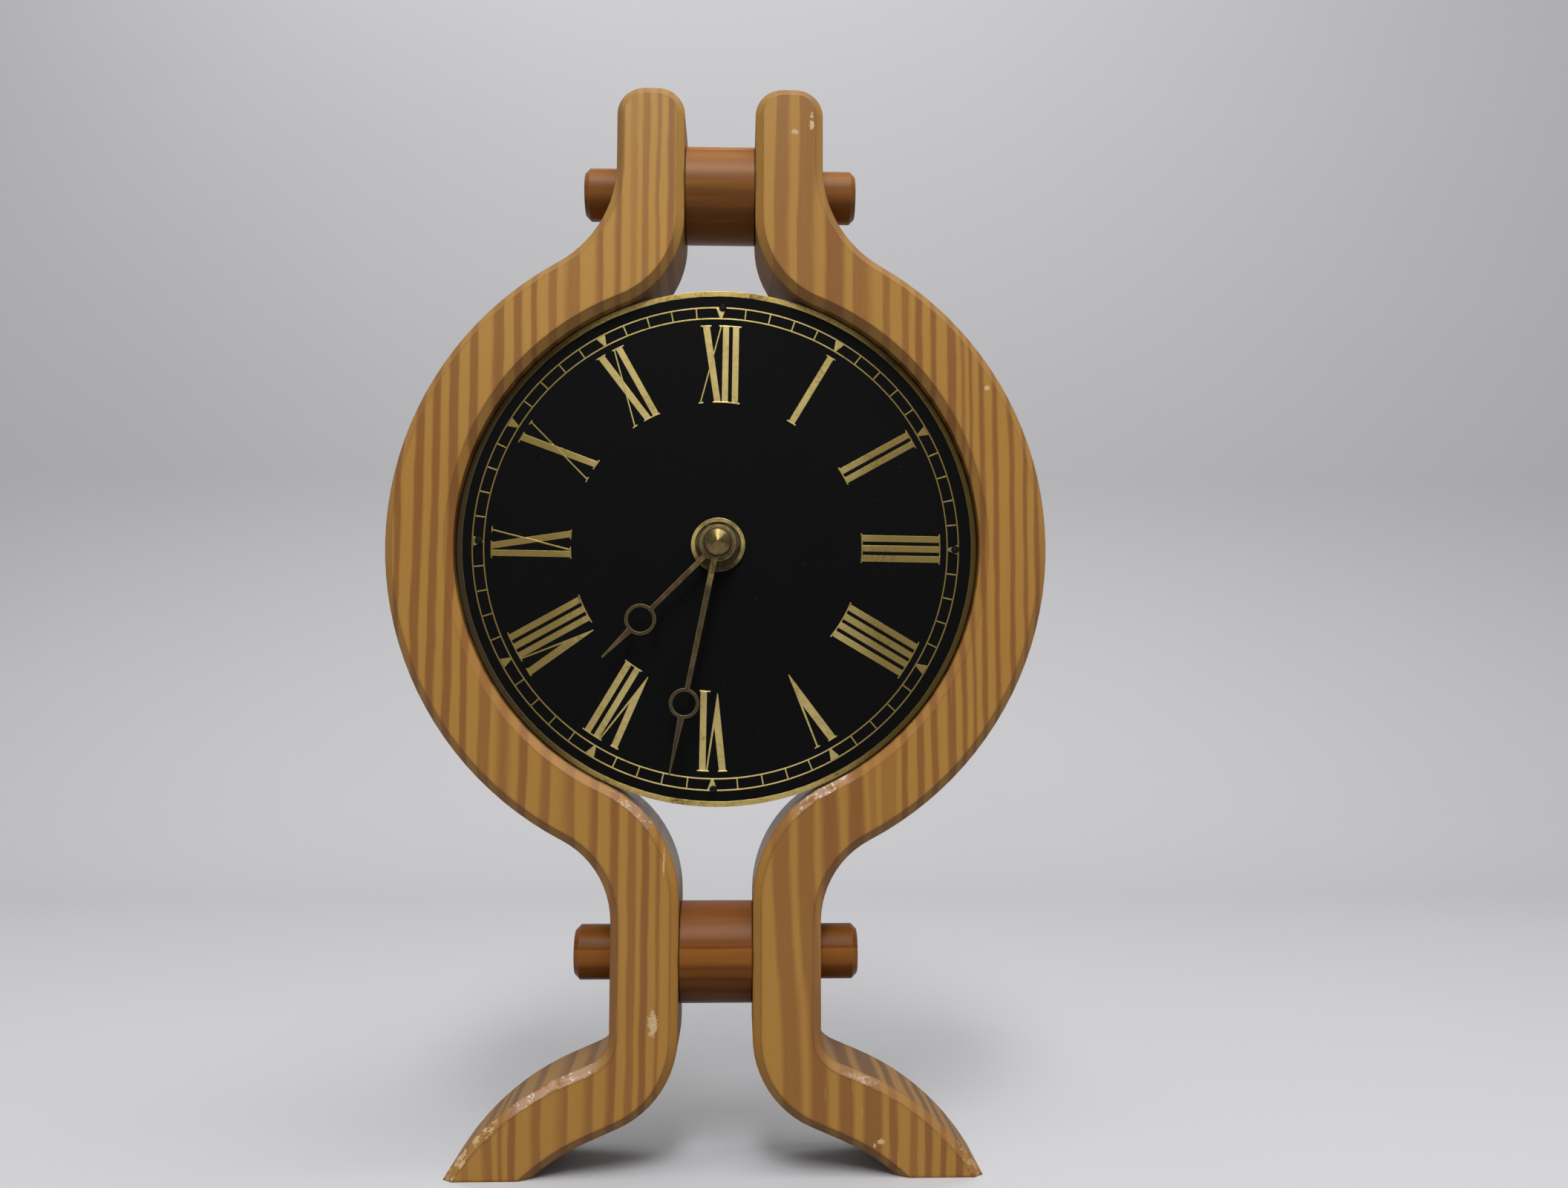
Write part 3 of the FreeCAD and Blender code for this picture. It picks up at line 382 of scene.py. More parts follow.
def pine(name, over, under, foot, chips, lifts, bare_zone, scuffed, top_light):
    """over, under, foot: the growth rings of the board's three parts, and their drift by powers of height;
    chips: bare spots of the front face, (x, z, width, height);
    lifts: where the bevel's lacquer has lifted and carries a painted highlight, x and z ranges and
    strength;
    bare_zone: x range and strength of the lost lacquer on the foot's upper bevel;
    scuffed: strength of the hair scratches low down; top_light: how much paler the top is painted, as
    painted light and sheen from above."""
    g = Graph(name)
    x, y, z = g.split(g.place)
    fibre = g.noise((5, 2, 0.1), 4, 0.65)
    streak = g.noise((2.2, 1, 0.035))
    patch = g.noise((0.03, 0.03, 0.015))
    depth = g.vary(pine_rings(g, x, y, z, over, under, foot), fibre, 0.3)
    depth = g.clamped(g.vary(depth, streak, 0.25))
    # painted light and sheen: the top painted paler, where more light falls
    lit_top = g.span(z, 190, 262, 0, top_light)
    honey = g.mix(lit_top, g.mix(patch, HONEY_DEEP, HONEY), HONEY_LIT_TOP)
    brown = g.mix(lit_top, g.mix(patch, RING_DEEP, RING), RING_LIT_TOP)
    colour = g.mix(depth, honey, brown)
    colour = g.mix(g.span(fibre, 0.68, 0.76, 0, 0.3), colour, FIBRE)
    colour = g.mix(g.span(streak, 0.7, 0.75, 0, 0.2), colour, PALE_STREAK)

    # The bevels: a deeper stain, painted shade where they face up, and darker near the tips
    across, along, up = g.facing()
    front = g.size(along)
    bevel = g.within(front, 0.5, 0.9, 0.08)
    colour = g.mix(g.times(bevel, 0.12), colour, BEVEL)
    # painted shade on the bevels that face up
    colour = g.mix(g.times(bevel, g.span(up, 0.1, 0.4), 0.35), colour, BEVEL_UP_SHADE)
    colour = g.mix(g.times(bevel, g.span(z, 200, 262, 0, 0.3)), colour, BEVEL_TIP)

    # The sides: painted shade, most of all on the inner walls and the tops of the feet, with dust on the
    # tops of the feet
    side = g.span(front, 0.15, 0.4, 1, 0)
    inward = g.span(g.times(across, x), -9, -5, 1, 0)
    shelf = g.times(g.span(z, 46, 60, 1, 0), g.span(up, 0, 0.4))
    # painted shade: deeper on the inner walls and the tops of the feet
    shade = g.mix(g.most(inward, shelf), SIDE_SHADE, RECESS_SHADE)
    colour = g.mix(side, colour, shade, "MULTIPLY")
    inner = g.times(side, inward, g.span(z, 150, 240, 0.9, 0.35))
    colour = g.mix(inner, colour, INNER_SHADE, "MULTIPLY")
    colour = g.mix(g.times(side, depth, g.scaled(shelf, 0.33, 0.12)), colour, RING_SIDE)
    dusty = g.times(g.span(up, 0.15, 0.6), g.span(z, 40, 60, 0.2, 0))
    colour = g.mix(dusty, colour, DUST)

    # The borders: grime and painted shade in a wide band, stronger low down, and rubbed dark or bare at the
    # very edge, the bare partly a painted highlight
    band_noise = g.noise(0.06, 3)
    # grime and painted shade, stronger low down
    grime_and_shade = g.times(g.edges(g.soft_edge(1.5)), g.span(z, 60, 130, 0.75, 0.3))
    colour = g.mix(g.times(grime_and_shade, g.span(band_noise, 0.3, 0.55, 0.35, 1)), colour, GRIME_AND_SHADE)
    rounded = g.soft_edge(0.4)
    ragged = g.noise((0.3, 0.6, 0.3), 5, 0.7)
    rubbed = g.mix(g.span(ragged, 0.52, 0.6), RUBBED_DARK, RUBBED_PALE_AND_HIGHLIGHT)
    # the pale of the edge line is worn lacquer and a painted highlight
    colour = g.mix(g.times(g.edges(rounded), 0.3), colour, rubbed)

    # Old lacquer on the upper bevels in front, lifted and milky and partly a painted highlight, chips and
    # hair scratches
    bare = g.mix(g.noise(1.6, 3), BARE_DARK, BARE_PALE)
    zone = g.times(bevel, g.span(up, 0.1, 0.35), g.span(along, -0.5, -0.3, 1, 0))
    colour, chipped = old_lacquer(g, x, z, colour, zone, lifts, bare_zone, bare)
    frayed = g.noise(0.9, 4, 0.75)
    for chip_x, chip_z, chip_wide, chip_tall in chips:
        away_x = g.math("DIVIDE", g.less(x, chip_x), chip_wide)
        away_z = g.math("DIVIDE", g.less(z, chip_z), chip_tall)
        away = g.add(g.times(away_x, away_x), g.times(away_z, away_z))
        away = g.vary(away, frayed, 4)
        spot = g.times(g.span(away, 0.6, 1, 1, 0), g.span(along, -0.8, -0.6, 1, 0))
        colour = g.mix(spot, colour, bare)
        chipped = g.most(chipped, spot)
    hairs = g.noise((3.4, 3.4, 0.07), 1)
    hairs = g.times(g.span(hairs, 0.74, 0.77), g.span(z, 40, 75, scuffed, 0.1))
    colour = g.mix(hairs, colour, HAIR_SCRATCH)

    peel = g.noise(0.3)
    relief = g.scaled(depth, -0.4, g.times(fibre, 0.5))
    relief = g.scaled(peel, 1.2, relief)
    relief = g.scaled(chipped, -2.5, relief)
    normal = g.bump(relief, 0.025, rounded)
    dull = g.most(shelf, g.times(inward, g.span(up, -0.1, 0.25, 1, 0.3)))
    gloss = g.scaled(patch, 0.1, 0.24)
    gloss = g.scaled(chipped, 0.4, gloss)
    gloss = g.scaled(g.times(side, dull), 0.3, gloss)
    return g.finish(colour, gloss, normal, Specular_IOR_Level=0.24)


# Dark turned wood of the dowels and barrels: grain in long lines along the bar, with painted light: the
# tones also carry the bars' shading from above and their soft highlights.
# A line is its height over the bar's middle in mm, the tone from there on, and its softness.

# painted light: the tones mostly rise towards the top of the upper bar
UPPER_LINES = [
    (-11.5, 0.3), (-9, 0.45), (-6.5, 0.35), (-4, 0.55, 2), (-1.5, 0.45, 2), (1, 0.65, 2),
    (3.5, 0.55, 2), (6, 0.7, 2), (9, 0.45, 1), (10, 0.8, 1.2), (11.6, 0.6, 0.8), (12.4, 1),
]
LOWER_LINES = [
    (-12, 0.5), (-10.6, 0.2), (-9.6, 0.45), (-7.6, 0.25), (-6.6, 0.55), (-4.6, 0.4), (-3.2, 0.85, 1.6),
    (0.6, 0.9), (1.4, 0.38, 0.8), (2.2, 0.55, 0.8), (3, 0.4, 0.8), (4.2, 0.55, 1.6), (8, 0.48, 2),
    (11, 0.4, 2),
]
PORE = rgb(58, 30, 12)
BAR_SCRATCH = rgb(206, 166, 116)
END_DARK = rgb(90, 50, 22)
END_LIGHT = rgb(126, 76, 36)
JOINT_GLUE_AND_SHADOW = rgb(26, 20, 12)
JOINT_START = 10.05  # the glue and painted shadow beside the uprights, as distance from the middle in mm
JOINT_END = 10.7
BAR_EDGE = rgb(186, 138, 84)


def dark_wood(name, middle, first, lines, light, dark):
    """middle: z of the bar's middle; first: the tone under the lowest line; light, dark: its two ends."""
    g = Graph(name)
    x, y, z = g.split(g.place)
    sway = g.noise((0.022, 0.05, 0.05))
    streak = g.noise((0.04, 0.9, 0.9), 4, 0.6)
    pores = g.noise((0.2, 6, 6), 3, 0.6)
    level = g.scaled(y, 0.12, g.less(z, middle))
    level = g.vary(level, sway, 3)
    tone = g.steps(level, first, lines, 1.2)
    tone = g.vary(tone, streak, 0.35)
    tone = g.clamped(g.vary(tone, pores, 0.12))
    colour = g.mix(tone, dark, light)
    colour = g.mix(g.span(pores, 0.64, 0.74, 0, 0.2), colour, PORE)
    scratch = g.noise((0.06, 3, 3))
    colour = g.mix(g.span(scratch, 0.74, 0.78, 0, 0.25), colour, BAR_SCRATCH)
    end = g.span(g.size(g.facing()[0]), 0.75, 0.95)
    radius = g.radius(y, z, (BAR_DEPTH, middle))
    wobble = g.noise(0.25)
    ring = g.math("SINE", g.scaled(wobble, 6, g.times(radius, 3.4)))
    colour = g.mix(end, colour, g.mix(g.span(ring, -0.6, 0.8), END_DARK, END_LIGHT))
    joint = g.within(g.size(x), JOINT_START, JOINT_END, 0.25)
    # dark glue and painted shadow in the joints beside the uprights
    colour = g.mix(g.times(joint, 0.8), colour, JOINT_GLUE_AND_SHADOW)
    rounded = g.soft_edge(0.3)
    colour = g.mix(g.times(g.edges(rounded), 0.35), colour, BAR_EDGE)
    relief = g.scaled(pores, 0.5, g.times(streak, 0.5))
    normal = g.bump(relief, 0.012, rounded)
    gloss = g.scaled(streak, 0.14, 0.28)
    return g.finish(colour, gloss, normal, Specular_IOR_Level=0.1)


# Metals

def brass(name, bright, dull, stain, rough, brushed, specks=0.5, cloud=0.08, zones=(), dirt_and_shade=(), rubbed=0.4,
          edge=0.15, turned=None, sides=None):
    """bright, dull: the metal's two tones; stain: its tarnish; brushed: the brush marks' scales;
    specks: strength of the scattered tarnish; cloud: scale of the change from bright to dull;
    zones: how far the tarnish goes at each distance from the hands' axis, as for Graph.steps;
    dirt_and_shade: the axis along which the darkening fades, where it starts and ends on it, and its
    strength;
    rubbed, edge: how bright the edges are, worn and partly a painted highlight, and their width in mm;
    turned: the axis, amount and turn of a brushed sheen; sides: the tone far to the left and right, a
    painted shade where the brass reflects less light."""
    g = Graph(name)
    x, y, z = g.split(g.place)
    clouds = g.noise(cloud, 4, 0.6)
    fine = g.noise(0.9, 4, 0.65)
    dots = g.noise(2.4)
    marks = g.noise(brushed, 2, 0.6)
    tone = g.vary(g.vary(clouds, fine, 0.6), marks, 0.4)
    colour = g.mix(g.span(tone, 0.3, 0.7), bright, dull)
    # painted shade: the brass darker far to the left and right, where it reflects less light
    if sides is not None:
        colour = g.mix(g.span(g.size(g.vary(x, clouds, 6)), 26, 50), colour, sides)
    tarnish = g.times(g.span(dots, 0.7, 0.76), specks)
    tarnish = g.most(tarnish, g.times(g.span(tone, 0.56, 0.76), specks))
    if zones:
        distance = g.vary(g.radius(x, z, HUB), fine, 0.5)
        tarnish = g.most(tarnish, g.steps(distance, zones[0], zones[1], 0.3))
    # darkening along one axis: dirt and painted shade on the rim's left, painted shade low on the washer
    if dirt_and_shade:
        axis, start, end, strength = dirt_and_shade
        grime_and_shade = g.vary(g.span((x, y, z)[axis], start, end, strength, 0), fine, 0.5)
        tarnish = g.math("MAXIMUM", tarnish, grime_and_shade, clamp=True)
    colour = g.mix(tarnish, colour, stain)
    rounded = g.soft_edge(edge)
    # brighter edges: worn brass and a painted highlight
    colour = g.mix(g.times(g.edges(rounded), rubbed), colour, bright)
    relief = g.scaled(marks, 0.7, g.times(fine, 0.4))
    normal = g.bump(relief, 0.012, rounded)
    gloss = g.scaled(tarnish, 0.2, rough)
    metal = g.scaled(tarnish, -0.4, 1)
    sheen = {}
    if turned is not None:
        axis, amount, turn = turned
        lay = g.node("ShaderNodeTangent", direction_type="RADIAL", axis=axis).outputs[0]
        sheen = {"Tangent": lay, "Anisotropic": amount, "Anisotropic_Rotation": turn}
    return g.finish(colour, gloss, normal, Metallic=metal, **sheen)


def plain_metal(name, colour, rough, grain):
    """colour: its bright tone; grain: scale of the marks along x, y, z."""
    g = Graph(name)
    clouds = g.noise(0.3, 3)
    marks = g.noise(grain, 3, 0.6)
    dull = tuple(0.72 * part for part in colour[:3]) + (1,)
    shade = g.mix(g.span(clouds, 0.35, 0.7), colour, dull)
    normal = g.bump(marks, 0.012, g.soft_edge(0.08))
    gloss = g.scaled(clouds, 0.2, rough)
    return g.finish(shade, gloss, normal, Metallic=1)


# Paint, plastic, rubber, board

def dial_black(name):
    """Black print on the brass disc, with dust, and bare brass at the disc's edge."""
    g = Graph(name)
    grain = g.noise(2.6, 3, 0.6)
    slow = g.noise(0.05, 3)
    colour = g.mix(slow, rgb(4, 5, 5), rgb(8, 9, 8))
    dust = g.noise(2, 2, 0.4)
    colour = g.mix(g.span(dust, 0.765, 0.79, 0, 0.5), colour, rgb(140, 142, 138))
    side = g.span(g.size(g.facing()[1]), 0.4, 0.7, 1, 0)
    colour = g.mix(side, colour, rgb(150, 120, 56))
    normal = g.bump(grain, 0.03)
    gloss = g.scaled(slow, 0.12, 0.5)
    return g.finish(colour, gloss, normal, Metallic=side, Specular_IOR_Level=0.07)


def pin_black(name):
    """Blackened steel, dull, with a few rubbed spots."""
    g = Graph(name)
    grain = g.noise(4, 3, 0.6)
    colour = g.mix(g.span(grain, 0.6, 0.75), rgb(9, 9, 9), rgb(40, 38, 36))
    normal = g.bump(grain, 0.02, g.soft_edge(0.2))
    gloss = g.scaled(grain, 0.2, 0.45)
    return g.finish(colour, gloss, normal, Specular_IOR_Level=0.15)


def moulded(name, light, dark, rough, grain=3, height=0.02, edge=0.25):
    """Moulded plastic, rubber or glue with a fine texture of that scale and height, and a little dust."""
    g = Graph(name)
    skin = g.noise(grain, 3, 0.6)
    slow = g.noise(0.09, 3)
    colour = g.mix(g.span(slow, 0.35, 0.7), dark, light)
    dust = g.noise(0.8, 4, 0.7)
    grey = tuple(0.6 * part + 0.12 for part in light[:3]) + (1,)
    colour = g.mix(g.span(dust, 0.62, 0.8, 0, 0.3), colour, grey)
    normal = g.bump(skin, height, g.soft_edge(edge))
    gloss = g.scaled(slow, 0.16, rough)
    return g.finish(colour, gloss, normal)


def plywood(name):
    """Birch ply: pale faces with long figure, and darker layers round the edge."""
    layer_pair = 3.2
    g = Graph(name)
    figure = g.noise((0.035, 0.3, 0.008), 4, 0.6, 1.2)
    fibre = g.noise((2.4, 2.4, 0.08), 4, 0.6)
    tone = g.vary(figure, fibre, 0.5)
    face = g.ramp(tone, [(0.25, rgb(168, 126, 80)), (0.5, rgb(196, 156, 106)), (0.75, rgb(212, 176, 128))])
    layer = g.math("SINE", g.times(g.split(g.place)[1], 2 * math.pi / layer_pair))
    edge = g.mix(g.span(layer, -0.3, 0.3), rgb(122, 84, 48), rgb(190, 150, 100))
    colour = g.mix(g.span(g.size(g.facing()[1]), 0.5, 0.8), edge, face)
    normal = g.bump(fibre, 0.04, g.soft_edge(0.4))
    gloss = g.scaled(fibre, 0.2, 0.5)
    return g.finish(colour, gloss, normal)


def cell_jacket(name):
    """A plain dry cell: dark jacket with a copper-coloured end, steel caps."""
    g = Graph(name)
    low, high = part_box("battery_cell")
    length = (high.x - low.x) / MM
    share = g.math("DIVIDE", g.less(g.split(g.place)[0], low.x / MM), length)
    slow = g.noise(0.12, 3)
    scuff = g.noise((0.2, 2, 2), 4, 0.7)
    jacket = g.ramp(share, [(0.66, rgb(34, 36, 40)), (0.68, rgb(170, 104, 52))], "LINEAR")
    jacket = g.mix(g.span(scuff, 0.66, 0.76, 0, 0.4), jacket, rgb(150, 148, 142))
    cap = g.span(g.size(g.facing()[0]), 0.6, 0.8)
    colour = g.mix(cap, jacket, rgb(176, 176, 172))
    normal = g.bump(scuff, 0.015, g.soft_edge(0.2))
    gloss = g.scaled(slow, 0.2, 0.26)
    metal = g.scaled(cap, 0.7, 0.3)
    return g.finish(colour, gloss, normal, Metallic=metal)


def winding(name):
    """Fine enamelled wire: close turns round the bobbin, along x."""
    wire = 0.16
    g = Graph(name)
    wobble = g.noise(0.5)
    turn = g.math("SINE", g.scaled(wobble, 2, g.times(g.split(g.place)[0], 2 * math.pi / wire)))
    colour = g.mix(g.span(turn, -0.8, 0.6), rgb(96, 38, 14), rgb(196, 106, 50))
    normal = g.bump(turn, 0.03)
    gloss = g.scaled(wobble, 0.2, 0.25)
    return g.finish(colour, gloss, normal, Metallic=0.8)


def circuit(name):
    """Green solder mask over tracks."""
    g = Graph(name)
    inputs = {"Vector": g.place, "Scale": 0.45}
    cells = g.node("ShaderNodeTexVoronoi", inputs, feature="DISTANCE_TO_EDGE").outputs[0]
    track = g.span(cells, 0.05, 0.08, 1, 0)
    fibre = g.noise(2, 3)
    colour = g.mix(fibre, rgb(28, 74, 36), rgb(40, 96, 48))
    colour = g.mix(track, colour, rgb(66, 124, 66))
    normal = g.bump(g.scaled(track, 0.8, g.times(fibre, 0.3)), 0.04)
    gloss = g.scaled(fibre, 0.2, 0.3)
    return g.finish(colour, gloss, normal)


# Every CAD node gets its finish. A brass has its bright tone, its dull tone and its tarnish.

OLIVE = (rgb(222, 200, 126), rgb(170, 149, 92), rgb(54, 44, 26))
BROWN = (rgb(150, 130, 82), rgb(108, 90, 58), rgb(48, 38, 32))
RUSTY = (rgb(166, 146, 96), rgb(108, 90, 54), rgb(54, 40, 30))
DEEP = (rgb(126, 110, 70), rgb(98, 82, 50), rgb(54, 42, 26))
CLEAN = (rgb(190, 160, 92), rgb(164, 132, 70), rgb(80, 60, 34))
# the hands' bright edges: worn brass and a painted highlight
HAND_WEAR = {"brushed": (0.5, 0.5, 0.5), "cloud": 0.25, "rubbed": 0.8, "edge": 0.22}
HOUR_ZONES = (0.3, [(10, 0.8, 5), (25, 0.9, 6), (39, 0.7, 3)])
MINUTE_ZONES = (
    0.9, [(4.4, 0.3, 0.4), (12, 0.88, 4), (22, 0.8, 6), (36, 0.9, 6), (54, 0.95, 3)])
upper_wood = dark_wood("dark_wood_upper", UPPER_BAR, 0.4, UPPER_LINES, rgb(170, 113, 56), rgb(80, 43, 15))
lower_wood = dark_wood("dark_wood_lower", LOWER_BAR, 0.3, LOWER_LINES, rgb(152, 94, 40), rgb(78, 37, 13))
case_black = moulded("black_case", rgb(34, 35, 37), rgb(20, 21, 22), 0.42, grain=3.2)
nylon = moulded(
    "white_nylon", rgb(226, 222, 208), rgb(206, 200, 184), 0.38, grain=2, height=0.01, edge=0.08)
steel = plain_metal("steel", rgb(186, 186, 184), 0.28, (0.4, 3, 3))
materials = {
    "left_upright": pine(
        "pine_left",
        over=(LEFT_OVER, (0.2, -0.8, 0.5)),
        under=(LEFT_UNDER, (0.3, 0.2, 0.4)),
        foot=(LEFT_FOOT, (0.5, 0.4, -0.4)),
        # the second chip, long and thin on the leg's inner edge, is a painted highlight on lifted lacquer
        chips=[(-17.2, 42, 1.5, 3.6), (-14.6, 86, 0.35, 4.2)],
        lifts=[(-55, -33, 5, 46, 0.5), (-30, -18, 90, 107, 0.3)],
        bare_zone=(-73, -60, 0.8), scuffed=0.4, top_light=0.6),
    "right_upright": pine(
        "pine_right",
        over=(RIGHT_OVER, (0.2, -1.4, 2.2)),
        under=(RIGHT_UNDER, (-0.1, -0.4, -2.9)),
        foot=(RIGHT_FOOT, (-0.6, -0.8, 0.3)),
        chips=[(22, 297.5, 1.1, 0.9), (26.9, 302.4, 0.5, 1), (26.8, 299.6, 0.8, 1.5),
               (46, 10, 1.1, 0.9), (44.2, 8.8, 0.4, 0.6), (77.6, 221.6, 0.9, 0.8)],
        lifts=[(34, 46, 5, 46, 0.2), (23, 37, 96, 113, 0.55)],
        bare_zone=(66, 74, 0.35), scuffed=0.6, top_light=0.22),
    "upper_dowel": upper_wood,
    "upper_spacer": upper_wood,
    "lower_dowel": lower_wood,
    "lower_spacer": lower_wood,
    "backing_disc": plywood("plywood"),
    "dial_plate": dial_black("dial_black"),
    "dial_pins": pin_black("black_pin"),
    # painted shade: the washer darker towards the bottom, under the hub and hands
    "bush_washer": brass(
        "brass_washer", *OLIVE, rough=0.34, brushed=(0.3, 0.3, 0.3), cloud=0.2,
        zones=(0.9, [(6.7, 0, 0.3)]), dirt_and_shade=(2, 168.5, 180, 0.95)),
    "bush_nut": brass(
        "brass_nut", *BROWN, rough=0.4, brushed=(0.3, 3, 3), specks=0.8, cloud=0.3,
        zones=(0.8, [(20, 0.8)])),
    # the dark band round the cap's base is a painted shadow of the gap under it
    "cap_nut": brass(
        "brass_cap", *DEEP, rough=0.3, brushed=(0.4, 4, 0.4), specks=0.6, cloud=0.3,
        zones=(0, [(3.55, 0.8, 0.4)]), turned=("Y", 0.6, 0.25)),
    "hour_hand": brass("brass_hour", *RUSTY, rough=0.38, specks=0.9, zones=HOUR_ZONES, **HAND_WEAR),
    "minute_hand": brass("brass_minute", *RUSTY, rough=0.36, specks=0.8, zones=MINUTE_ZONES, **HAND_WEAR),
    "minute_arbor": brass("brass_arbor", *CLEAN, rough=0.3, brushed=(0.4, 4, 0.4)),
    "rubber_gasket": moulded("rubber", rgb(38, 38, 40), rgb(22, 22, 24), 0.7, grain=1.6, height=0.05),
    "movement_case": case_black,
    "movement_cover": case_black,
    "setting_knob": moulded("black_knob", rgb(32, 33, 35), rgb(18, 19, 20), 0.38, edge=0.2),
    "control_chip": moulded("chip_resin", rgb(28, 28, 30), rgb(14, 14, 15), 0.3, grain=1.5, height=0.03),
    "battery_cell": cell_jacket("cell_jacket"),
    "positive_contact": steel,
    "negative_contact": steel,
    "stator_plate": steel,
    "crystal_can": steel,
    "coil_winding": winding("copper_winding"),
    "circuit_board": circuit("circuit_board"),
    "rotor_magnet": moulded("ferrite", rgb(66, 64, 64), rgb(44, 42, 42), 0.45, grain=2.5),
}
for name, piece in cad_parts.items():
    piece.data.materials.clear()
    piece.data.materials.append(materials.get(name, nylon))


def new_object(name, data):
    made = bpy.data.objects.new(name, data)
    bpy.context.scene.collection.objects.link(made)
    return made


def new_piece(name, points, faces, finish):
    """A new mesh object, with its points in metres."""
    mesh = bpy.data.meshes.new(name)
    mesh.from_pydata(points, [], faces)
    mesh.validate()
    mesh.update()
    mesh.materials.append(finish)
    return new_object(name, mesh)


def band_faces(first, rows, closed):
    """The faces along rows of four points, that close to a ring if asked for."""
    faces = []
    for k in range(rows if closed else rows - 1):
        here = first + 4 * k
        after = first + 4 * ((k + 1) % rows)
        for side in range(4):
            other = (side + 1) % 4
            faces.append([here + side, here + other, after + other, after + side])
    return faces


# The printed dial: thin closed plates of bare brass on the black, all sizes in mm

HOUR_TURN = 30  # from one hour to the next, in degrees
PRINT_TURN = 0.75  # the print sits a little clockwise, in degrees
PRINT_HEIGHT = 0.03  # how far the bare brass stands out of the black
PRINT_SUNK = 0.02  # how far it reaches into the dial plate
STEM_LIFT = 0.004  # strokes that cross stand out by different amounts, so that no faces coincide
THIN_LIFT = 0.012
SERIF_LIFT = 0.016
RIM_INNER = 73.45
RIM_OUTER = 75
RIM_RAGGED = 0.05
RIM_WAVES = ((23, 0), (57, 1), (101, 2))  # count and shift of the waves along its ragged edge
TRACK_INNER = 66.94
TRACK_OUTER = 70.2
TRACK_LINE = 0.38
TRACK_LAP = 0.1  # how far the marks' ends stay inside the circles' middles
WEDGE_TOP = 2.9  # width of the hour marks at the outer circle
WEDGE_FOOT = 0.6
NUMERAL_TOP = 64.95
NUMERAL_FOOT = 41.95
SERIF = 0.36  # thickness of the bars at a numeral's top and foot
THIN_STROKE = 1  # a slanting stroke narrower than this is a thin one
POINT_RISE = 0.7  # how far a V's point stays above the foot
POINT_HALF = 0.12  # half the width of that point
THIN_END_RISE = 1.5  # how far above it the thin stroke's inner edge ends


class Plates:
    """Collects flat plates on the dial as one set of points and faces."""

    BACK = (DIAL_FRONT + PRINT_SUNK) * MM

    def __init__(self):
        self.points = []
        self.faces = []

    def add(self, outline, lift):
        """A plate with that outline, a list of (x, z)."""
        area = sum(a[0] * b[1] - b[0] * a[1] for a, b in zip(outline, outline[1:] + outline[:1]))
        if area < 0:
            outline = outline[::-1]
        count = len(outline)
        start = len(self.points)
        front = (DIAL_FRONT - PRINT_HEIGHT - lift) * MM
        self.points += [(x * MM, front, z * MM) for x, z in outline]
        self.points += [(x * MM, self.BACK, z * MM) for x, z in outline]
        self.faces.append([start + k for k in range(count)])
        self.faces.append([start + count + k for k in reversed(range(count))])
        for k in range(count):
            after = (k + 1) % count
            self.faces.append([start + k, start + count + k, start + count + after, start + after])

    def ring(self, inner, outer, middle, ragged=0, steps=360):
        """A closed flat ring, with a ragged inner edge if asked for."""
        start = len(self.points)
        front = (DIAL_FRONT - PRINT_HEIGHT) * MM
        for k in range(steps):
            turn = 2 * math.pi * k / steps
            waves = [math.sin(many * turn + shift) for many, shift in RIM_WAVES]
            near = inner + ragged * sum(waves) / len(waves)
            for radius, depth in ((near, front), (outer, front), (outer, self.BACK), (near, self.BACK)):
                x = middle[0] + radius * math.sin(turn)
                z = middle[1] + radius * math.cos(turn)
                self.points.append((x * MM, depth, z * MM))
        self.faces += band_faces(start, steps, True)

    def make(self, name, finish):
        piece = new_piece(name, self.points, self.faces, finish)
        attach(piece, "frame")


def on_dial(hour, across, out):
    """A point of the dial print: across and out are mm from the hour's own radius and from the middle."""
    turn = math.radians(HOUR_TURN * hour + PRINT_TURN)
    x = DIAL_MIDDLE[0] + out * math.sin(turn) + across * math.cos(turn)
    z = DIAL_MIDDLE[1] + out * math.cos(turn) - across * math.sin(turn)
    return x, z


def corners_on_dial(hour, corners):
    return [on_dial(hour, *corner) for corner in corners]


def arc_bar(hour, left, right, low, high, steps=8):
    """The outline of a bar that follows the dial's circle."""
    places = [left + (right - left) * k / steps for k in range(steps + 1)]
    hours = [hour + math.degrees(place / high) / HOUR_TURN for place in places]
    upper = [on_dial(h, 0, high) for h in hours]
    lower = [on_dial(h, 0, low) for h in hours]
    return upper + lower[::-1]


rim = Plates()
rim.ring(RIM_INNER, RIM_OUTER, HUB, RIM_RAGGED)
track = Plates()
for radius in (TRACK_INNER, TRACK_OUTER):
    track.ring(radius - TRACK_LINE / 2, radius + TRACK_LINE / 2, DIAL_MIDDLE)
low = TRACK_INNER + TRACK_LAP
high = TRACK_OUTER - TRACK_LAP
for minute in range(60):
    whole_hour = minute % 5 == 0
    half_top = (WEDGE_TOP if whole_hour else TRACK_LINE) / 2
    half_low = (WEDGE_FOOT if whole_hour else TRACK_LINE) / 2
    corners = ((-half_top, high), (half_top, high), (half_low, low), (-half_low, low))
    track.add(corners_on_dial(minute / 5, corners), STEM_LIFT)

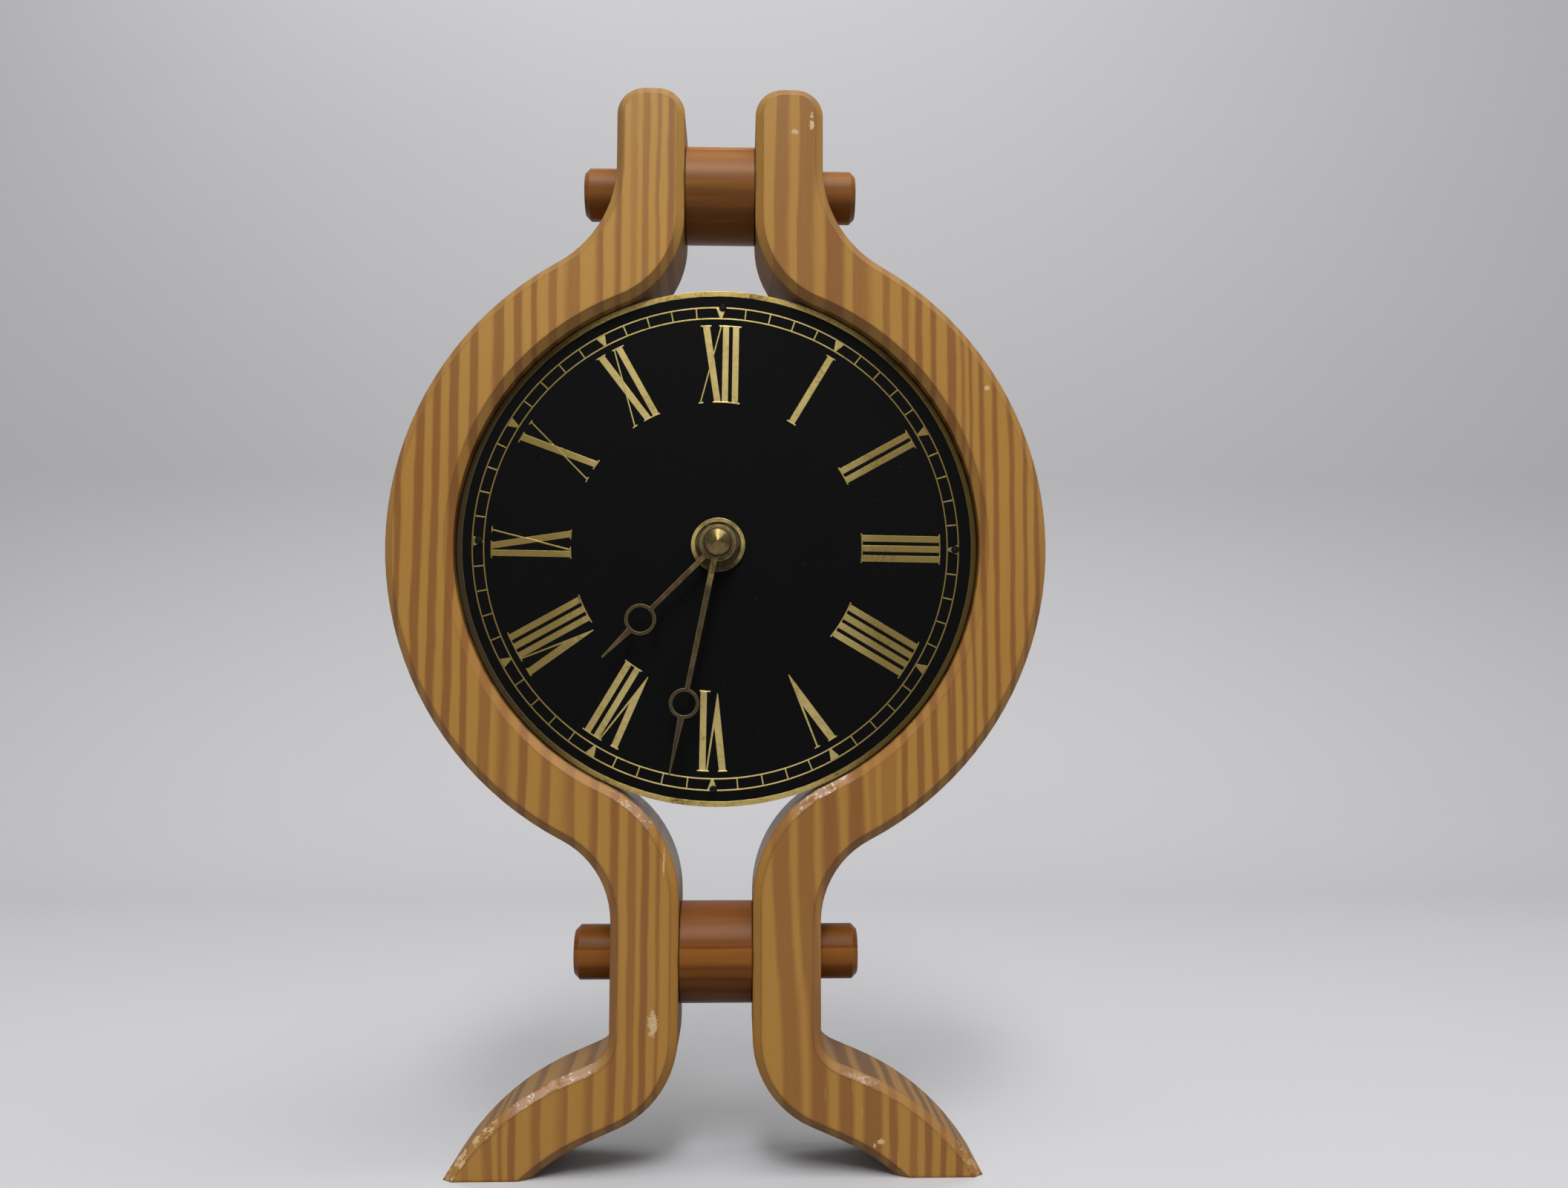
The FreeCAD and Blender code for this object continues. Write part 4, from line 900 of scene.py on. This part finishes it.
# Each numeral: upright stems, slanting strokes (top left, top right, foot left, foot right), V shapes
# (thick stroke's top left and right, thin stroke's top left and right, point) and the bars at top and
# foot, all as mm across
NUMERALS = {
    1: {"stems": [(-0.95, 0.95)], "tops": [(-1.5, 1.5)], "feet": [(-1.5, 1.5)]},
    2: {"stems": [(-2.4, -0.55), (0.55, 2.4)], "tops": [(-3.1, 3.1)], "feet": [(-2.9, 2.9)]},
    3: {"stems": [(-3.85, -2), (-0.92, 0.92), (2, 3.85)], "tops": [(-4.45, 4.45)],
        "feet": [(-4.3, 4.3)]},
    4: {"stems": [(-5.3, -3.45), (-2.4, -0.55), (0.45, 2.3), (3.4, 5.25)], "tops": [(-6.1, 6.1)],
        "feet": [(-5.8, 5.8)]},
    5: {"vees": [(-3.2, -1, 2.6, 3.05, 0)], "tops": [(-3.6, -0.7), (2.05, 3.7)]},
    6: {"vees": [(-3.85, -1.85, 1.5, 1.95, -1.05)], "stems": [(2, 3.85)],
        "tops": [(-4.2, -1.55), (1.05, 4.45)], "feet": [(1, 4.1)]},
    7: {"vees": [(-5.75, -3.85, -0.27, 0.15, -2.7)], "stems": [(0.2, 2), (3.15, 5.05)],
        "tops": [(-6.2, -3.65), (-0.7, 5.75)], "feet": [(-0.4, 5.45)]},
    8: {"vees": [(-6.95, -4.9, -1.6, -1.2, -4.25)], "stems": [(-1.25, 0.5), (1.55, 3.4), (4.45, 6.3)],
        "tops": [(-7.3, -4.6), (-2.3, 7.05)], "feet": [(-2.1, 6.75)]},
    9: {"stems": [(-4.15, -2.35)], "slants": [(-2.1, -0.2, 1.65, 3.55), (3.25, 3.65, -2.25, -1.8)],
        "tops": [(-4.8, 0.2), (2.75, 4.4)], "feet": [(-4.65, -1.2), (1.05, 3.8)]},
    10: {"slants": [(-3, -0.9, 1.3, 3.2), (2.95, 3.35, -3, -2.6)], "tops": [(-3.8, -0.4), (2.2, 3.7)],
         "feet": [(-3.7, -2.1), (0.6, 3.8)]},
    11: {"slants": [(-3.75, -1.75, -0.45, 1.45), (1.45, 1.85, -4.1, -3.7)], "stems": [(2.15, 4)],
         "tops": [(-4.35, -1.25), (0.9, 4.7)], "feet": [(-4.7, -3.1), (-0.9, 4.4)]},
    12: {"slants": [(-5.3, -3.25, -1.55, 0.35), (-0.05, 0.35, -5.65, -5.25)],
         "stems": [(0.65, 2.45), (3.55, 5.4)], "tops": [(-5.9, -2.75), (-0.5, 6.1)],
         "feet": [(-6.1, -4.7), (-2, 5.9)]},
}
numerals = Plates()
high = NUMERAL_TOP - SERIF / 2
low = NUMERAL_FOOT + SERIF / 2
tip = NUMERAL_FOOT + POINT_RISE
for hour, strokes in NUMERALS.items():
    for left, right in strokes.get("stems", []):
        corners = ((left, high), (right, high), (right, low), (left, low))
        numerals.add(corners_on_dial(hour, corners), STEM_LIFT)
    for left, right, foot_left, foot_right in strokes.get("slants", []):
        corners = ((left, high), (right, high), (foot_right, low), (foot_left, low))
        lift = THIN_LIFT if right - left < THIN_STROKE else STEM_LIFT
        numerals.add(corners_on_dial(hour, corners), lift)
    for left, right, thin_left, thin_right, point in strokes.get("vees", []):
        rise = high - tip
        lean = (point - left) / rise
        back = (thin_right - point) / rise
        meet = (thin_right - right) / (lean + back)
        fork = (right + lean * meet, high - meet)
        point_left = (point - POINT_HALF, tip)
        point_right = (point + POINT_HALF, tip)
        corners = ((left, high), (right, high), fork, point_right, point_left)
        numerals.add(corners_on_dial(hour, corners), STEM_LIFT)
        thin_end = (point_right[0] - (thin_right - thin_left), tip + THIN_END_RISE)
        corners = ((thin_left, high), (thin_right, high), point_right, thin_end)
        numerals.add(corners_on_dial(hour, corners), THIN_LIFT)
    for left, right in strokes.get("tops", []):
        numerals.add(arc_bar(hour, left, right, NUMERAL_TOP - SERIF, NUMERAL_TOP), SERIF_LIFT)
    for left, right in strokes.get("feet", []):
        numerals.add(arc_bar(hour, left, right, NUMERAL_FOOT, NUMERAL_FOOT + SERIF), SERIF_LIFT)

GOLD = (rgb(224, 203, 136), rgb(206, 183, 114), rgb(96, 78, 42))
PALE_GOLD = (rgb(214, 188, 116), rgb(176, 150, 84), rgb(58, 46, 28))
# the print's darker sides at III and IX are painted shade
print_brass = brass(
    "brass_print", *GOLD, rough=0.36, brushed=(0.12, 1, 9), specks=0.55, rubbed=0.1,
    sides=rgb(160, 138, 80))
# the rim: dirt and painted shade on its left, and painted shade at its sides
rim_brass = brass(
    "brass_rim", *PALE_GOLD, rough=0.36, brushed=(0.2, 1, 4), specks=0.9, dirt_and_shade=(0, -74, -30, 0.9),
    sides=rgb(104, 86, 46))
rim.make("dial_rim", rim_brass)
track.make("minute_track", print_brass)
numerals.make("hour_numerals", print_brass)


# The hands: stamped plates with bevelled edges, in place of the CAD's plain ones

HAND_BEVEL = 0.14
LONG_ARC = 64  # edges round a hub or a ring's hole
SHORT_ARC = 48  # edges round half a ring or a hub's hole


def arc(middle, radius, start, end, steps):
    """Points (across, out) on a circle about a point of the hand's own line, from one turn to another."""
    turns = [start + (end - start) * k / steps for k in range(steps + 1)]
    return [(radius * math.sin(turn), middle + radius * math.cos(turn)) for turn in turns]


def inset(loop, amount):
    """The loop moved into the metal, which lies to the right of its direction."""
    moved = []
    for before, point, after in zip(loop[-1:] + loop[:-1], loop, loop[1:] + loop[:1]):
        first = (Vector(point) - Vector(before)).normalized()
        second = (Vector(after) - Vector(point)).normalized()
        side = Vector((first.y + second.y, -first.x - second.x))
        moved.append(tuple(Vector(point) + side * amount / (1 + first.dot(second))))
    return moved


def hand_loops(length, ring, hub, hole, bar, spear):
    """The hand's outline and its two holes, each a loop with the metal to its right."""
    middle, outer, inner = ring
    full = 2 * math.pi
    at_hub = math.asin(bar[0] / 2 / hub)
    at_neck = math.asin(bar[1] / 2 / outer)
    at_root = math.asin(spear[0] / 2 / outer)
    outline = arc(0, hub, at_hub, full - at_hub, LONG_ARC)
    outline += arc(middle, outer, at_neck - math.pi, -at_root, SHORT_ARC)
    outline += [(-spear[1] / 2, length), (spear[1] / 2, length)]
    outline += arc(middle, outer, at_root, math.pi - at_neck, SHORT_ARC)
    return [outline, arc(middle, inner, full, 0, LONG_ARC)[:-1], arc(0, hole, full, 0, SHORT_ARC)[:-1]]


def stamped_hand(node, body, turn, length, ring, hub, hole, bar, spear):
    """turn: degrees clockwise from the top; length: from the axis to the tip, in mm like all sizes here;
    ring: its middle, outer and inner radius; hub, hole: their radii; bar, spear: their two end widths."""
    loops = hand_loops(length, ring, hub, hole, bar, spear)
    count = sum(len(loop) for loop in loops)
    face = [[Vector((*point, 0)) for point in inset(loop, HAND_BEVEL)] for loop in loops]
    whole = [[Vector((*point, 0)) for point in loop] for loop in loops]
    low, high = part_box(node)
    sine = math.sin(math.radians(turn))
    cosine = math.cos(math.radians(turn))
    points = []
    for level, depth in ((face, low.y), (whole, low.y + HAND_BEVEL * MM), (whole, high.y)):
        for loop in level:
            for point in loop:
                x = HUB[0] + point.y * sine + point.x * cosine
                z = HUB[1] + point.y * cosine - point.x * sine
                points.append((x * MM, depth, z * MM))
    faces = [tuple(triangle) for triangle in tessellate_polygon(face)]
    faces += [tuple(2 * count + k for k in triangle) for triangle in tessellate_polygon(whole)]
    start = 0
    for loop in loops:
        for k in range(len(loop)):
            here = start + k
            after = start + (k + 1) % len(loop)
            for row in (0, count):
                faces.append((row + here, row + after, row + count + after, row + count + here))
        start += len(loop)
    piece = new_piece("stamped_" + node, points, faces, materials[node])
    shape = bmesh.new()
    shape.from_mesh(piece.data)
    bmesh.ops.recalc_face_normals(shape, faces=shape.faces)
    shape.to_mesh(piece.data)
    shape.free()
    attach(piece, body)
    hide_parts(node)


stamped_hand(
    "hour_hand", "hour_works", 224.9, length=46.2, ring=(31, 4.5, 3.5), hub=5.3, hole=2.55,
    bar=(1.6, 1.35), spear=(1.8, 0.55))
stamped_hand(
    "minute_hand", "minute_works", 191.4, length=67, ring=(46.6, 4.3, 3.3), hub=4.5, hole=1.25,
    bar=(1.8, 1.4), spear=(1.9, 0.35))


# The glue that closes the seam between the backing disc and the uprights, seen from behind

GLUE_LAP = 0.05  # how far the glue reaches into the wood on both sides, in mm
GLUE_DEPTH = 2
GLUE_SETBACK = 0.4  # how far it stays inside the disc's back, in mm
GLUE_SAG = 0.25  # how far its back waves, in mm
GLUE_WAVES = (17, 5)
glue = moulded("dried_glue", rgb(122, 84, 42), rgb(84, 54, 26), 0.45, grain=1.2, height=0.04)


def glue_line(name, middle_turn, reach, steps=96):
    """An arc of glue about the hands' axis: its middle's direction and its reach each way, in degrees."""
    low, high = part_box("backing_disc")
    inner = (high.x - low.x) / 2 / MM - GLUE_LAP
    outer = BOW_INNER + GLUE_LAP
    back = high.y / MM - GLUE_SETBACK
    front = back - GLUE_DEPTH
    points = []
    for k in range(steps + 1):
        turn = math.radians(middle_turn - reach + 2 * reach * k / steps)
        sag = GLUE_SAG * math.sin(GLUE_WAVES[0] * turn) * math.sin(GLUE_WAVES[1] * turn)
        for radius, depth in ((inner, front), (outer, front), (outer, back + sag), (inner, back)):
            x = HUB[0] + radius * math.sin(turn)
            z = HUB[1] + radius * math.cos(turn)
            points.append((x * MM, depth * MM, z * MM))
    faces = band_faces(0, steps + 1, False)
    last = 4 * steps
    faces.append([3, 2, 1, 0])
    faces.append([last, last + 1, last + 2, last + 3])
    piece = new_piece(name, points, faces, glue)
    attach(piece, "frame")


glue_line("left_glue_line", 270, 55)
glue_line("right_glue_line", 90, 55)


# Floor and backdrop in one pale sweep, in metres

SWEEP_HALF = 3
SWEEP_FRONT = -2.5
SWEEP_BEND = 0.55  # y where the floor starts to rise
SWEEP_RADIUS = 0.35
SWEEP_TOP = 3


def studio_paper():
    """Pale to the eye and in reflections, greyer in the light that it throws back."""
    g = Graph("studio_paper")
    mottle = g.noise(0.004, 3)
    fibre = g.noise(1.5, 3)
    pale = g.mix(mottle, rgb(195, 195, 199), rgb(199, 199, 202))
    path = g.node("ShaderNodeLightPath").outputs
    seen = g.most(path["Is Camera Ray"], path["Is Glossy Ray"])
    seen = g.most(seen, path["Is Transmission Ray"])
    colour = g.mix(seen, rgb(108, 108, 108), pale)
    normal = g.bump(fibre, 0.03)
    gloss = g.scaled(mottle, 0.1, 0.6)
    return g.finish(colour, gloss, normal)


def sweep(steps=16):
    profile = [(SWEEP_FRONT, 0), (SWEEP_BEND, 0)]
    for k in range(1, steps + 1):
        turn = math.radians(90 * k / steps)
        y = SWEEP_BEND + SWEEP_RADIUS * math.sin(turn)
        z = SWEEP_RADIUS - SWEEP_RADIUS * math.cos(turn)
        profile.append((y, z))
    profile.append((SWEEP_BEND + SWEEP_RADIUS, SWEEP_TOP))
    points = [(x, y, z) for y, z in profile for x in (-SWEEP_HALF, SWEEP_HALF)]
    faces = [[2 * k, 2 * k + 1, 2 * k + 3, 2 * k + 2] for k in range(len(profile) - 1)]
    paper = new_piece("sweep", points, faces, studio_paper())
    for polygon in paper.data.polygons:
        polygon.use_smooth = True
    paper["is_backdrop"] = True


sweep()


# Light: a wide soft lamp overhead, a narrower one in front, a weak one for the back, and a dim room

ROOM_COLOUR = (1, 0.99, 0.97, 1)
ROOM_LEVEL = 0.34  # strength of the room's light at the horizon and under it
ROOM_TOP = 0.5  # and from above


def lamp(name, place, aim, wide, tall, watts):
    data = bpy.data.lights.new(name, "AREA")
    data.shape = "RECTANGLE"
    data.size = wide
    data.size_y = tall
    data.energy = watts
    made = new_object(name, data)
    made.location = place
    made.rotation_mode = "QUATERNION"
    made.rotation_quaternion = (Vector(aim) - Vector(place)).to_track_quat("-Z", "Y")
    return made


def room():
    world = bpy.data.worlds.new("room")
    world.use_nodes = True
    tree = world.node_tree
    background = tree.nodes["Background"]
    background.inputs["Color"].default_value = ROOM_COLOUR
    point = tree.nodes.new("ShaderNodeTexCoord")
    upward = tree.nodes.new("ShaderNodeSeparateXYZ")
    level = tree.nodes.new("ShaderNodeMapRange")
    level.inputs["From Max"].default_value = 0.9
    level.inputs["To Min"].default_value = ROOM_LEVEL
    level.inputs["To Max"].default_value = ROOM_TOP
    tree.links.new(point.outputs["Generated"], upward.inputs[0])
    tree.links.new(upward.outputs["Z"], level.inputs["Value"])
    tree.links.new(level.outputs["Result"], background.inputs["Strength"])
    bpy.context.scene.world = world


lamp("overhead", (0.3, -0.35, 1.4), aim=(0, 0, 0.15), wide=1.2, tall=0.8, watts=10)
lamp("front_upper", (-0.06, -1.05, 1.38), aim=(0, 0, 0.16), wide=0.3, tall=0.75, watts=12.5)
back_lamp = lamp("back_upper", (-0.2, 0.7, 1.3), aim=(0, 0, 0.16), wide=0.9, tall=0.5, watts=5)
back_lamp.visible_glossy = False
room()


# Camera at the photograph's place

SENSOR = 36  # its width in mm
LENS = 31.307  # focal length in mm
CAMERA_PLACE = (5.9892, -400.182, 129.2233)  # in mm
CAMERA_TURN = (94.7586, -0.0888, -1.919)  # about x, y and z, in degrees


def camera():
    data = bpy.data.cameras.new("camera")
    data.sensor_fit = "HORIZONTAL"
    data.sensor_width = SENSOR
    data.lens = LENS
    data.clip_start = 0.01
    made = new_object("camera", data)
    made.location = [value * MM for value in CAMERA_PLACE]
    made.rotation_euler = [math.radians(angle) for angle in CAMERA_TURN]
    bpy.context.scene.camera = made


camera()
bpy.context.scene.view_settings.view_transform = "Standard"

low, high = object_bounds()
